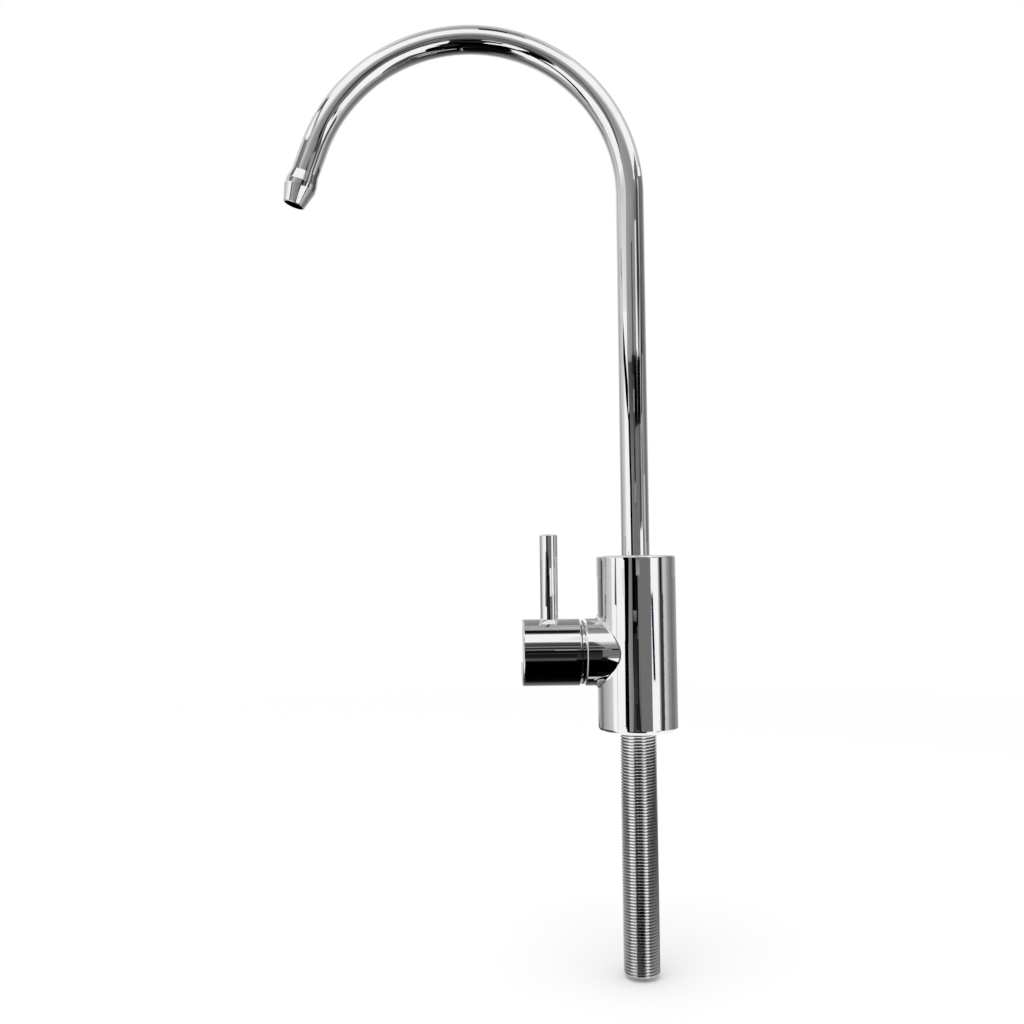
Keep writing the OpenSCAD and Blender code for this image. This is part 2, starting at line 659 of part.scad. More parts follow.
// Socket screw that bears on a flat of the spindle's square end
module grub_screw() {
    key_depth = 2.2;
    color(STEEL) on_handle_axis(lever_at) rotate([0, -90, 0]) difference() {
        translate([0, 0, grub_tip_r]) cylinder(r = grub_r, h = grub_head_r - grub_tip_r);
        translate([0, 0, grub_head_r - key_depth])
            cylinder(r = grub_key_af / 2 / cos(30), h = key_depth + cut, $fn = 6);
    }
}

tap_body();
base_seal();
shank();
shank_seal();
spout_tube();
spout_ferrule();
spout_o_ring_lower();
spout_o_ring_upper();
spout_thrust_washer();
spout_retaining_bush();
spout_tip();
outlet_straightener();
cartridge_housing();
cartridge_o_ring();
bonnet_ring();
seat_seal();
fixed_disc();
moving_disc();
spindle();
spindle_slip_washer();
spindle_o_ring_inner();
spindle_o_ring_outer();
stop_washer();
spindle_clip();
handle_hub();
lever_rod();
grub_screw();
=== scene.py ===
"""Looks of a drinking water filter tap: its polished pieces, their finishes, and the studio round it.

Shapes are worked out in millimetres, in the frame of the solids: the origin is on the tap's axis at the
underside of its body, +Z is up, and the handle and the spout point to -X.
"""
import math

import bpy
import numpy as np
from mathutils import Matrix


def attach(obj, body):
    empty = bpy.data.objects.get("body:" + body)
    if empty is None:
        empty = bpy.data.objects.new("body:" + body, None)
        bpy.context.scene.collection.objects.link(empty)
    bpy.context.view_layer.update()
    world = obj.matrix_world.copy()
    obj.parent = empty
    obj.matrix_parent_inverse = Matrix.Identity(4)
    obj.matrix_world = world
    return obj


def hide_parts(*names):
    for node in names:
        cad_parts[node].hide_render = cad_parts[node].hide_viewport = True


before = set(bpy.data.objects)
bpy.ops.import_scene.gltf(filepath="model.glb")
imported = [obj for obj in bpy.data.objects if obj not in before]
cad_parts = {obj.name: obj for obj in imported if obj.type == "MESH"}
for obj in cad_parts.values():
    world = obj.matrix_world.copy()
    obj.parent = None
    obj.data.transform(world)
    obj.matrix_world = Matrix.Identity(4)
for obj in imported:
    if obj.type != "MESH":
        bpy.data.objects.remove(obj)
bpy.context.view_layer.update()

MM = 0.001
MICRON = 0.000001
RIGHT = np.array([1.0, 0.0, 0.0])
AWAY = np.array([0.0, 1.0, 0.0])
UP = np.array([0.0, 0.0, 1.0])
QUARTER = math.pi / 2

# Body
BODY_R = 13.2
BODY_H = 58.0
TOP_EDGE = 0.8
FOOT_EDGE = 1.4
BRANCH_Z = 26.2
BRANCH_R = 11.3
BRANCH_REACH = 17.6
BRANCH_BEVEL = 0.4
FILLET_R = 1.2                # hollow round the root of the branch
SEAT_X = 3.4
CAVITY_R = 7.5
BUSH_SOCKET_R = 8.85
SHOULDER_Z = 51.8
STEM_SOCKET_R = 7.15
STEM_SOCKET_Z = 38.3
SPIGOT_SOCKET_R = 5.55
SPIGOT_SOCKET_H = 12.0
SOCKET_MOUTH_R = 6.4
SOCKET_MOUTH_H = 1.2
WATER_WAY_R = 2.4
WATER_WAY_TOP = 28.6
GROOVE_IN_R = 7.6
GROOVE_OUT_R = 10.0
GROOVE_H = 2.0

# Shank
SHANK_R = 6.0
SHANK_LEN = 80.0
THREAD_PITCH = 1.0
THREAD_DEPTH = 0.6
THREAD_FLANK = 0.28           # part of a pitch that each side of a tooth takes
RUN_OUT_SLOPE = 1.2           # how fast the thread grows from its root below the body
ROOT_SHADE_START = 0.2             # depth under the crests where the painted root shade starts
SHANK_BEVEL = 0.8
SPIGOT_R = 5.5
SPIGOT_LEN = 10.6
NECK_H = 1.0
SHANK_BORE_R = 2.5
INLET_R = 3.25
INLET_DEPTH = 12.0

# Spout
TUBE_R = 4.75
TUBE_BORE_R = 3.75
TUBE_FOOT_Z = 39.8
APEX_Z = 240.0 - TUBE_R
RISE_BEND_R = 54.0
FALL_BEND_R = 56.6
BEND_END = math.radians(160.5)
TAIL_LEN = 9.5
TIP_SPIGOT_LEN = 5.0
TIP_SPIGOT_R = 3.7
TIP_BORE_R = 2.8
TIP_R = 5.45
TIP_FLARE_LEN = 3.4
TIP_BAND_LEN = 1.9
TIP_TAPER_LEN = 5.9
TIP_END_R = 3.75
TIP_RIM = 0.15
TIP_EDGE = 1.2                # rounding of both edges of the band
OUTLET_R = 3.3
OUTLET_DEPTH = 2.0
CHAMBER_R = 3.1
CHAMBER_LEN = 3.0
TIP_BORE_PATCHES = 5          # patches at the end of the tip's outline that lie in its bore, where the colour is painted shade

# Bush in the top of the body
BUSH_R = 8.8
BUSH_LEN = 3.8
BUSH_BEVEL = 0.3
BUSH_BORE_R = 4.8
KEY_HOLE_R = 0.8
KEY_HOLE_AT = (TUBE_R + BUSH_R) / 2

# Ring between the branch and the hub
RING_R = 10.8
RING_W = 1.3
RING_GROOVE = 0.35
RING_STEP_R = 9.9
RING_BEVEL = 0.2
RING_BORE_R = 7.45

# Handle, whose places are distances from the tap's axis
HUB_R = 11.2
HUB_START = 19.2
HUB_END = 38.5
HUB_EDGE = 0.8
HUB_BEVEL = 0.4
HUB_HOLLOW_R = 9.0
HUB_HOLLOW_END = 24.6
HUB_SOCKET_R = 3.3
HUB_SOCKET_END = 33.0
LEVER_AT = 29.2
LEVER_R = 3.0
LEVER_TOP = 39.1
LEVER_EDGE = 0.5
LEVER_SEAT_R = 10.55          # distance of the lever's seat from the hub's axis
LEVER_FOOT_R = 2.4
LEVER_FOOT_END = 5.6
LEVER_WELL_END = 5.2
SEAT_GAP = 0.05
GRUB_R = 2.0
GRUB_HOLE_END = 3.4
GRUB_HOLE_COLLAR = 1.0        # straight end of the grub screw's hole

ROUND_STEPS = 96
ROUND = np.linspace(0, 2 * math.pi, ROUND_STEPS + 1)
MERGE = 1e-4                  # side of the cells whose points become one point
MERGE_SHIFT = 0.3137          # part of a cell, which keeps round values off the cells' edges


# Shapes

def outline(corners, steps=8):
    """Stretches of an outline through corners (distance, height, rounding). A straight stretch has one
    normal, to the right of the way it goes. A rounded corner is an arc that touches both its sides, and its
    normal turns evenly from one side's to the other's."""
    at = np.array([corner[:2] for corner in corners], float)
    way = np.diff(at, axis=0)
    way /= np.linalg.norm(way, axis=1)[:, None]
    side = np.stack([way[:, 1], -way[:, 0]], 1)
    stretches = []
    start = at[0]
    for i in range(1, len(at)):
        rounding = corners[i][2] if len(corners[i]) > 2 else 0
        end = at[i]
        if rounding:
            cross = way[i - 1, 0] * way[i, 1] - way[i - 1, 1] * way[i, 0]
            turn = math.atan2(cross, way[i - 1] @ way[i])
            end = at[i] - rounding * math.tan(abs(turn) / 2) * way[i - 1]
        stretches.append((np.array([start, end]), np.array([side[i - 1], side[i - 1]])))
        start = at[i]
        if rounding:
            angle = turn * np.linspace(0, 1, steps + 1)
            normal = np.stack([np.cos(angle) * side[i - 1, 0] - np.sin(angle) * side[i - 1, 1],
                               np.sin(angle) * side[i - 1, 0] + np.cos(angle) * side[i - 1, 1]], 1)
            bulge = math.copysign(rounding, turn)
            arc = end - bulge * side[i - 1] + bulge * normal
            stretches.append((arc, normal))
            start = arc[-1]
    return stretches


def turned(stretches, axis, angles=ROUND):
    """Patches of an outline turned round an axis (origin, across, beside, along): the point at distance d and
    height h goes to origin + d (cos a across + sin a beside) + h along."""
    origin, across, beside, along = axis
    spoke = np.cos(angles)[:, None] * across + np.sin(angles)[:, None] * beside
    return [(origin + point[:, None, :1] * spoke + point[:, None, 1:] * along,
             normal[:, None, :1] * spoke + normal[:, None, 1:] * along)
            for point, normal in stretches]


def windowed(hole, half, counts, place, rings=6):
    """Patch between a round hole and the rectangle round it, and the angles round the hole. In the flat
    development of the surface a point is (1 - t) of the hole's rim and t of the rectangle's side that lies in
    the same direction, and place() wraps it on the surface."""
    wide, high = half
    across = np.linspace(-wide, wide, counts[0] + 1)
    along = np.linspace(-high, high, counts[1] + 1)
    s = np.concatenate([across, np.full(counts[1], wide), across[-2::-1], np.full(counts[1], -wide)])
    x = np.concatenate([np.full(counts[0] + 1, -high), along[1:], np.full(counts[0], high), along[-2::-1]])
    angle = np.unwrap(np.arctan2(x, s))
    rim_s, rim_x = hole(angle)
    t = np.linspace(0, 1, rings + 1)[:, None]
    return place((1 - t) * rim_s + t * s, (1 - t) * rim_x + t * x), angle


def mesh_of(name, patches, shaded_patches=0):
    """Closed mesh of patches. Each patch is a grid of points with the surface's own normal at each. Points of
    two patches that coincide become one vertex, each face's corner keeps its patch's normal, and a face is
    turned over where its corners run the wrong way round for that normal. The last patches, as many as the
    count given says, get the attribute that marks painted shade: the chrome's colour there is painted near
    black."""
    points = np.concatenate([point.reshape(-1, 3) for point, _ in patches])
    normals = np.concatenate([normal.reshape(-1, 3) for _, normal in patches])
    faces = []
    start = 0
    for point, _ in patches:
        rows, columns = point.shape[:2]
        index = start + np.arange(rows * columns).reshape(rows, columns)
        quads = [index[:-1, :-1], index[1:, :-1], index[1:, 1:], index[:-1, 1:]]
        faces.append(np.stack(quads, -1).reshape(-1, 4))
        start += rows * columns
    # Faces of the last patches, whose colour is painted near black as shade
    painted_shade = np.repeat(np.arange(len(faces)) >= len(faces) - shaded_patches, [len(face) for face in faces])
    faces = np.concatenate(faces)
    corner = points[faces]
    across = np.cross(corner[:, 2] - corner[:, 0], corner[:, 3] - corner[:, 1])
    inward = (across * normals[faces].sum(1)).sum(1) < 0
    faces[inward] = faces[inward][:, ::-1]
    cell = np.floor(points / MERGE + MERGE_SHIFT).astype(np.int64)
    _, first, vertex = np.unique(cell, axis=0, return_index=True, return_inverse=True)
    corners = vertex.ravel()[faces]
    kept = corners != np.roll(corners, 1, axis=1)
    whole = (kept.sum(1) > 2) & (corners[:, 0] != corners[:, 2]) & (corners[:, 1] != corners[:, 3])
    faces, corners, kept = faces[whole], corners[whole], kept[whole]
    counts = kept.sum(1)
    mesh = bpy.data.meshes.new(name)
    mesh.vertices.add(len(first))
    mesh.vertices.foreach_set("co", (points[first] * MM).ravel())
    mesh.loops.add(int(counts.sum()))
    mesh.loops.foreach_set("vertex_index", corners[kept])
    mesh.polygons.add(len(counts))
    mesh.polygons.foreach_set("loop_start", np.concatenate([[0], np.cumsum(counts)[:-1]]))
    mesh.update(calc_edges=True)
    mesh.polygons.foreach_set("use_smooth", np.ones(len(counts), bool))
    mesh.normals_split_custom_set(normals[faces[kept]].tolist())
    if shaded_patches:
        attribute = mesh.attributes.new("painted_shade", "FLOAT", "FACE")
        attribute.data.foreach_set("value", painted_shade[whole].astype(np.float32))
    return mesh


def fit_piece(name, patches, material, body, node, shaded_patches=0):
    """Puts a piece of these patches in the place of one CAD node, on that node's body."""
    piece = bpy.data.objects.new(name, mesh_of(name, patches, shaded_patches))
    bpy.context.scene.collection.objects.link(piece)
    piece.data.materials.append(material)
    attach(piece, body)
    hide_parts(node)


UPRIGHT = (np.zeros(3), RIGHT, AWAY, UP)
SIDEWAYS = (BRANCH_Z * UP, UP, AWAY, -RIGHT)


def body_patches(half=96, rows=24, hollow_rows=12, plain_columns=160):
    """Upright cylinder, and a branch that leaves it through a rolled hollow. A ball of the hollow's radius q
    rolls round the branch, touching both: at angle p round the branch its centre is at y = (r + q) sin p,
    z = axis + (r + q) cos p and x = - root((R + q)^2 - y^2). The hollow is the ball's surface between its two
    points of contact, and the cylinder's wall is cut along the first of them."""
    p = np.linspace(-QUARTER, 3 * QUARTER, 2 * half + 1)
    y = (BRANCH_R + FILLET_R) * np.sin(p)
    z = BRANCH_Z + (BRANCH_R + FILLET_R) * np.cos(p)
    x = -np.sqrt((BODY_R + FILLET_R) ** 2 - y ** 2)
    centre = np.stack([x, y, z], 1)
    a = math.pi - np.arcsin(y / (BODY_R + FILLET_R))
    on_wall = np.stack([np.cos(a), np.sin(a), 0 * a], 1)
    on_branch = np.stack([0 * p, np.sin(p), np.cos(p)], 1)

    opening = np.arccos((on_wall * on_branch).sum(1))[:, None]
    t = np.linspace(0, 1, hollow_rows + 1)[:, None, None]
    hollow = (np.sin((1 - t) * opening) * on_wall + np.sin(t * opening) * on_branch) / np.sin(opening)
    patches = [(centre - FILLET_R * hollow, hollow)]

    t = np.linspace(0, 1, rows + 1)[:, None]

    def wall(angle, cut_z, end_z):
        height = (1 - t) * cut_z + t * end_z
        angle = angle + 0 * height
        out = np.stack([np.cos(angle), np.sin(angle), 0 * angle], -1)
        return BODY_R * out + height[..., None] * UP, out

    plain = np.linspace(a[half], a[0] - 2 * math.pi, plain_columns + 1)
    top_z, foot_z = BODY_H - TOP_EDGE, FOOT_EDGE
    patches += [wall(a[:half + 1], z[:half + 1], top_z), wall(a[half:], z[half:], foot_z),
                wall(plain, BRANCH_Z + 0 * plain, top_z), wall(plain, BRANCH_Z + 0 * plain, foot_z)]

    end_x = BRANCH_BEVEL - BRANCH_REACH
    along = (1 - t) * x + t * end_x
    out = on_branch + 0 * along[..., None]
    patches.append((BRANCH_R * out + BRANCH_Z * UP + along[..., None] * RIGHT, out))
    branch_end = outline([(BRANCH_R, BRANCH_REACH - BRANCH_BEVEL), (BRANCH_R - BRANCH_BEVEL, BRANCH_REACH),
                          (CAVITY_R, BRANCH_REACH), (CAVITY_R, SEAT_X), (0, SEAT_X)])
    patches += turned(branch_end, SIDEWAYS, p)

    # The underside's last stretch and the top's first have no length: they only give the wall's way
    all_round = np.concatenate([a[:half + 1], plain[1:]])
    underside = outline([(0, WATER_WAY_TOP), (WATER_WAY_R, WATER_WAY_TOP), (WATER_WAY_R, SPIGOT_SOCKET_H),
                         (SPIGOT_SOCKET_R, SPIGOT_SOCKET_H), (SPIGOT_SOCKET_R, SOCKET_MOUTH_H),
                         (SOCKET_MOUTH_R, SOCKET_MOUTH_H), (SOCKET_MOUTH_R, 0), (GROOVE_IN_R, 0),
                         (GROOVE_IN_R, GROOVE_H), (GROOVE_OUT_R, GROOVE_H), (GROOVE_OUT_R, 0),
                         (BODY_R, 0, FOOT_EDGE), (BODY_R, FOOT_EDGE)])[:-1]
    top = outline([(BODY_R, top_z), (BODY_R, BODY_H, TOP_EDGE), (BUSH_SOCKET_R, BODY_H),
                   (BUSH_SOCKET_R, SHOULDER_Z), (STEM_SOCKET_R, SHOULDER_Z), (STEM_SOCKET_R, STEM_SOCKET_Z),
                   (0, STEM_SOCKET_Z)])[1:]
    return patches + turned(underside, UPRIGHT, all_round) + turned(top, UPRIGHT, all_round)


def shank_patches(columns=72):
    """Screw thread over a grid of turns and angle. With w = z / pitch - angle / one turn, the distance from
    the axis is root + depth * ridge(w), where the ridge rises to a flat crest and falls again, once in each
    turn. It is never more than the cone of the bevel at the lower end or the cone of the run-out at the
    upper end."""
    root = SHANK_R - THREAD_DEPTH
    end_r = root - SHANK_BEVEL

    def ridge(w):
        tooth = np.clip((0.5 - np.abs(w % 1 - 0.5)) / THREAD_FLANK, 0, 1)
        return 0.5 * tooth + 0.25 * (1 - np.cos(math.pi * tooth))

    def distance(angle, z):
        w = z / THREAD_PITCH - angle / (2 * math.pi)
        bevel = end_r + z + SHANK_LEN
        run_out = root - RUN_OUT_SLOPE * z
        return np.minimum(np.minimum(root + THREAD_DEPTH * ridge(w), bevel), run_out)

    angle = np.linspace(0, 2 * math.pi, columns + 1)
    flank = np.linspace(0, THREAD_FLANK, 5)
    steps = np.concatenate([flank, [0.5], 1 - flank[:0:-1]])
    turns = np.arange(-int(SHANK_LEN / THREAD_PITCH) - 1, 1)
    w = (turns[:, None] + steps).ravel()[:, None]
    z = np.clip(THREAD_PITCH * (w + angle / (2 * math.pi)), -SHANK_LEN, 0)
    r = distance(angle, z)
    small = 0.02
    slope = (distance(angle, z + small) - distance(angle, z - small)) / (2 * small)
    twist = (distance(angle + small, z) - distance(angle - small, z)) / (2 * small) / r
    out = np.stack([np.cos(angle), np.sin(angle), 0 * angle], -1) + 0 * r[..., None]
    beside = np.stack([-np.sin(angle), np.cos(angle), 0 * angle], -1)
    normal = out - slope[..., None] * UP - twist[..., None] * beside
    normal /= np.linalg.norm(normal, axis=-1)[..., None]
    inside = outline([(root, 0), (SPIGOT_R, NECK_H), (SPIGOT_R, SPIGOT_LEN), (SHANK_BORE_R, SPIGOT_LEN),
                      (SHANK_BORE_R, INLET_DEPTH - SHANK_LEN), (INLET_R, INLET_DEPTH - SHANK_LEN),
                      (INLET_R, -SHANK_LEN), (end_r, -SHANK_LEN)])
    return [(r[..., None] * out + z[..., None] * UP, normal)] + turned(inside, UPRIGHT, angle)


def bend_end_axis():
    """Axis of the tail: its origin is the end of the bend, and its heights run on towards the tip."""
    out = math.cos(BEND_END) * RIGHT + math.sin(BEND_END) * UP
    along = -math.sin(BEND_END) * RIGHT + math.cos(BEND_END) * UP
    centre = -RISE_BEND_R * RIGHT + (APEX_Z - FALL_BEND_R) * UP
    return centre + FALL_BEND_R * out, out, -AWAY, along


def gooseneck_patches(rise_steps=72, fall_steps=60):
    """Tube along a middle line of a riser, two bends and a tail. The point at angle a round the tube is
    middle + radius (cos a out + sin a away), where out points away from the centre of the bend."""
    rise = np.linspace(0, QUARTER, rise_steps + 1)
    fall = np.linspace(QUARTER, BEND_END, fall_steps + 1)
    origin, out_end, _, along = bend_end_axis()
    rise_centre = -RISE_BEND_R * RIGHT + (APEX_Z - RISE_BEND_R) * UP
    fall_centre = -RISE_BEND_R * RIGHT + (APEX_Z - FALL_BEND_R) * UP

    def spoke(turn):
        return np.cos(turn)[:, None] * RIGHT + np.sin(turn)[:, None] * UP

    middle = np.concatenate([[TUBE_FOOT_Z * UP], rise_centre + RISE_BEND_R * spoke(rise),
                             (fall_centre + FALL_BEND_R * spoke(fall))[1:], [origin + TAIL_LEN * along]])
    out = np.concatenate([[RIGHT], spoke(rise), spoke(fall)[1:], [out_end]])
    normal = np.cos(ROUND)[:, None] * out[:, None] + np.sin(ROUND)[:, None] * AWAY
    outer = middle[:, None] + TUBE_R * normal
    inner = middle[:, None] + TUBE_BORE_R * normal
    foot = np.stack([outer[0], inner[0]])
    end = np.stack([outer[-1], inner[-1]])
    return [(outer, normal), (inner, -normal), (foot, 0 * foot - UP), (end, 0 * end + along)]


def tip_patches():
    """Double cone turned round the tail's axis, with a spigot behind it and the outlet in its end."""
    length = TIP_FLARE_LEN + TIP_BAND_LEN + TIP_TAPER_LEN
    chamber_end = length - OUTLET_DEPTH
    chamber_start = chamber_end - CHAMBER_LEN
    shape = outline([(TIP_BORE_R, -TIP_SPIGOT_LEN), (TIP_SPIGOT_R, -TIP_SPIGOT_LEN), (TIP_SPIGOT_R, 0),
                     (TUBE_R, 0), (TIP_R, TIP_FLARE_LEN, TIP_EDGE),
                     (TIP_R, TIP_FLARE_LEN + TIP_BAND_LEN, TIP_EDGE),
                     (TIP_END_R, length - TIP_RIM), (TIP_END_R - TIP_RIM, length), (OUTLET_R, length),
                     (OUTLET_R, chamber_end), (CHAMBER_R, chamber_end), (CHAMBER_R, chamber_start),
                     (TIP_BORE_R, chamber_start), (TIP_BORE_R, -TIP_SPIGOT_LEN)])
    origin, across, beside, along = bend_end_axis()
    return turned(shape, (origin + TAIL_LEN * along, across, beside, along))


def bush_patches(columns=96, half=8):
    """Turned ring with two round key holes in its flat top. The flat round each hole is a window in the plane
    of arc length and distance from the axis."""
    step = 2 * math.pi / columns
    reach = 1.5
    low_r, high_r = KEY_HOLE_AT - reach, KEY_HOLE_AT + reach
    rows = 8
    patches = []
    hole_floor = BODY_H - BUSH_LEN / 2
    for side in (1, -1):
        middle = side * QUARTER

        def place(s, x):
            angle = middle + s / KEY_HOLE_AT
            distance = KEY_HOLE_AT + x
            point = np.stack([distance * np.cos(angle), distance * np.sin(angle), BODY_H + 0 * angle], -1)
            return point, 0 * point + UP

        def rim(angle):
            far, beside = KEY_HOLE_AT + KEY_HOLE_R * np.sin(angle), KEY_HOLE_R * np.cos(angle)
            return KEY_HOLE_AT * np.arctan2(beside, far), np.hypot(beside, far) - KEY_HOLE_AT

        wide = half * step * KEY_HOLE_AT
        window, angle = windowed(rim, (wide, reach), (2 * half, rows), place)
        well = outline([(KEY_HOLE_R, BODY_H), (KEY_HOLE_R, hole_floor), (0, hole_floor)])
        axis = (side * KEY_HOLE_AT * AWAY, -side * RIGHT, side * AWAY, UP)
        patches += [window] + turned(well, axis, angle)
        between_holes = middle + step * np.arange(half, columns // 2 - half + 1)
        flat = np.stack([np.linspace(high_r, low_r, rows + 1), np.full(rows + 1, BODY_H)], 1)
        flat_up = np.tile([0.0, 1.0], (rows + 1, 1))
        patches += turned([(flat, flat_up)], UPRIGHT, between_holes)
    angles = QUARTER + step * np.arange(columns + 1)
    shape = outline([(low_r, BODY_H), (BUSH_BORE_R, BODY_H), (BUSH_BORE_R, BODY_H - BUSH_LEN),
                     (BUSH_R, BODY_H - BUSH_LEN), (BUSH_R, BODY_H - BUSH_BEVEL),
                     (BUSH_R - BUSH_BEVEL, BODY_H), (high_r, BODY_H)])
    return patches + turned(shape, UPRIGHT, angles)


def ring_patches():
    """Turned ring with a stepped rim, which leaves a fine groove before the branch."""
    start = BRANCH_REACH
    end = BRANCH_REACH + RING_W
    shape = outline([(RING_BORE_R, end), (RING_BORE_R, start), (RING_STEP_R, start),
                     (RING_STEP_R, start + RING_GROOVE), (RING_R - RING_BEVEL, start + RING_GROOVE),
                     (RING_R, start + RING_GROOVE + RING_BEVEL), (RING_R, end - RING_BEVEL),
                     (RING_R - RING_BEVEL, end), (RING_BORE_R, end)])
    return turned(shape, SIDEWAYS)


def hub_patches(columns=192, rows=16, well_rows=4):
    """Turned hub with a hole for the lever on top and one for the grub screw underneath. The wall round each
    hole is a window in the plane of arc length s and place x along the hub, where the hole's rim is at
    s = R arcsin(h cos a / R), x = h sin a. The hole's own wall starts at height root(R^2 - (h cos a)^2)."""
    step = 2 * math.pi / columns
    reach = 4.5
    patches = []

    def hole(middle, hole_r, half, well):
        def place(s, x):
            angle = middle + s / HUB_R
            out = np.stack([0 * angle, np.sin(angle), np.cos(angle)], -1)
            return BRANCH_Z * UP + HUB_R * out - (LEVER_AT + x)[..., None] * RIGHT, out

        def rim(angle):
            return HUB_R * np.arcsin(hole_r * np.cos(angle) / HUB_R), hole_r * np.sin(angle)

        up = math.cos(middle) * UP
        across = math.cos(middle) * AWAY
        window, angle = windowed(rim, (half * step * HUB_R, reach), (2 * half, rows), place)
        inward = -(np.cos(angle)[:, None] * across - np.sin(angle)[:, None] * RIGHT)
        mouth = np.sqrt(HUB_R ** 2 - (hole_r * np.cos(angle)) ** 2)
        t = np.linspace(0, 1, well_rows + 1)[:, None]
        height = (1 - t) * mouth + t * well[0][1]
        base = BRANCH_Z * UP - LEVER_AT * RIGHT
        wall = (base - hole_r * inward + height[..., None] * up, inward + 0 * height[..., None])
        return [window, wall] + turned(outline(well), (base, across, -RIGHT, up), angle)

    lever_half, grub_half = 12, 8
    seat_r = LEVER_R + SEAT_GAP
    foot_r = LEVER_FOOT_R + SEAT_GAP
    grub_r = GRUB_R + SEAT_GAP
    patches += hole(0, seat_r, lever_half, [(seat_r, LEVER_SEAT_R), (foot_r, LEVER_SEAT_R),
                                            (foot_r, LEVER_WELL_END), (0, LEVER_WELL_END)])
    patches += hole(math.pi, grub_r, grub_half, [(grub_r, GRUB_HOLE_END + GRUB_HOLE_COLLAR),
                                                 (grub_r, GRUB_HOLE_END), (0, GRUB_HOLE_END)])
    low, high = LEVER_AT - reach, LEVER_AT + reach
    band = np.stack([np.full(rows + 1, HUB_R), np.linspace(low, high, rows + 1)], 1)
    band_out = np.tile([1.0, 0.0], (rows + 1, 1))
    side = step * np.arange(lever_half, columns // 2 - grub_half + 1)
    patches += turned([(band, band_out)], SIDEWAYS, side) + turned([(band, band_out)], SIDEWAYS, -side)
    shape = outline([(0, HUB_SOCKET_END), (HUB_SOCKET_R, HUB_SOCKET_END), (HUB_SOCKET_R, HUB_HOLLOW_END),
                     (HUB_HOLLOW_R, HUB_HOLLOW_END), (HUB_HOLLOW_R, HUB_START),
                     (HUB_R - HUB_BEVEL, HUB_START), (HUB_R, HUB_START + HUB_BEVEL), (HUB_R, low)])
    # The outer end is walked from the wall to the axis
    shape += outline([(HUB_R, high), (HUB_R, HUB_END, HUB_EDGE), (0, HUB_END)], steps=12)
    return patches + turned(shape, SIDEWAYS, step * np.arange(columns + 1))


def lever_patches():
    """Rod turned round an upright axis, with a rounded top edge and a thinner foot inside the hub."""
    shape = outline([(0, LEVER_FOOT_END), (LEVER_FOOT_R, LEVER_FOOT_END), (LEVER_FOOT_R, LEVER_SEAT_R),
                     (LEVER_R, LEVER_SEAT_R), (LEVER_R, LEVER_TOP, LEVER_EDGE), (0, LEVER_TOP)])
    return turned(shape, (BRANCH_Z * UP - LEVER_AT * RIGHT, RIGHT, AWAY, UP))


# Finishes

def shader_of(name):
    """New material, with its node tree and its surface shader."""
    material = bpy.data.materials.new(name)
    material.use_nodes = True
    tree = material.node_tree
    return material, tree, tree.nodes["Principled BSDF"]


def grain(tree, scale, detail=3.0, stretch=(1, 1, 1)):
    """Cloudy pattern fixed to the piece, with so many patches to a metre."""
    place = tree.nodes.new("ShaderNodeTexCoord")
    mapping = tree.nodes.new("ShaderNodeMapping")
    mapping.inputs["Scale"].default_value = stretch
    noise = tree.nodes.new("ShaderNodeTexNoise")
    noise.inputs["Scale"].default_value = scale
    noise.inputs["Detail"].default_value = detail
    tree.links.new(place.outputs["Object"], mapping.inputs["Vector"])
    tree.links.new(mapping.outputs["Vector"], noise.inputs["Vector"])
    return noise.outputs["Fac"]


def spread(tree, value, low, high, start=0.3, end=0.7):
    """Value of a pattern between two ends, stretched to run from low to high."""
    node = tree.nodes.new("ShaderNodeMapRange")
    node.inputs["From Min"].default_value = start
    node.inputs["From Max"].default_value = end
    node.inputs["To Min"].default_value = low
    node.inputs["To Max"].default_value = high
    tree.links.new(value, node.inputs["Value"])
    return node.outputs["Result"]


def tinted(tree, value, first, second):
    """Colour that goes from the first to the second as the pattern does."""
    node = tree.nodes.new("ShaderNodeMix")
    node.data_type = "RGBA"
    node.inputs["A"].default_value = (*first, 1)
    node.inputs["B"].default_value = (*second, 1)
    tree.links.new(value, node.inputs["Factor"])
    return node.outputs["Result"]


def relief(tree, value, depth, under=None):
    """Normal of a surface that rises and falls by depth metres with the pattern."""
    node = tree.nodes.new("ShaderNodeBump")
    node.inputs["Strength"].default_value = 1
    node.inputs["Distance"].default_value = depth
    tree.links.new(value, node.inputs["Height"])
    if under:
        tree.links.new(under, node.inputs["Normal"])
    return node.outputs["Normal"]


def finish(name, tint, tint_grain, roughness, rough_grain, pits, pit_grain, metallic=0, specular=0.5):
    """Plain finish that is patchy in three ways: its colour goes between two tints, its roughness between two
    values, and its surface rises and falls by the depth of the pits. Each grain is the number of patches to a
    metre, their detail and, where they are drawn out, their stretch."""
    material, tree, shader = shader_of(name)
    shader.inputs["Metallic"].default_value = metallic
    shader.inputs["Specular IOR Level"].default_value = specular
    cloud = spread(tree, grain(tree, *tint_grain), 0, 1)
    tree.links.new(tinted(tree, cloud, *tint), shader.inputs["Base Color"])
    tree.links.new(spread(tree, grain(tree, *rough_grain), *roughness), shader.inputs["Roughness"])
    tree.links.new(relief(tree, grain(tree, *pit_grain), pits), shader.inputs["Normal"])
    return material


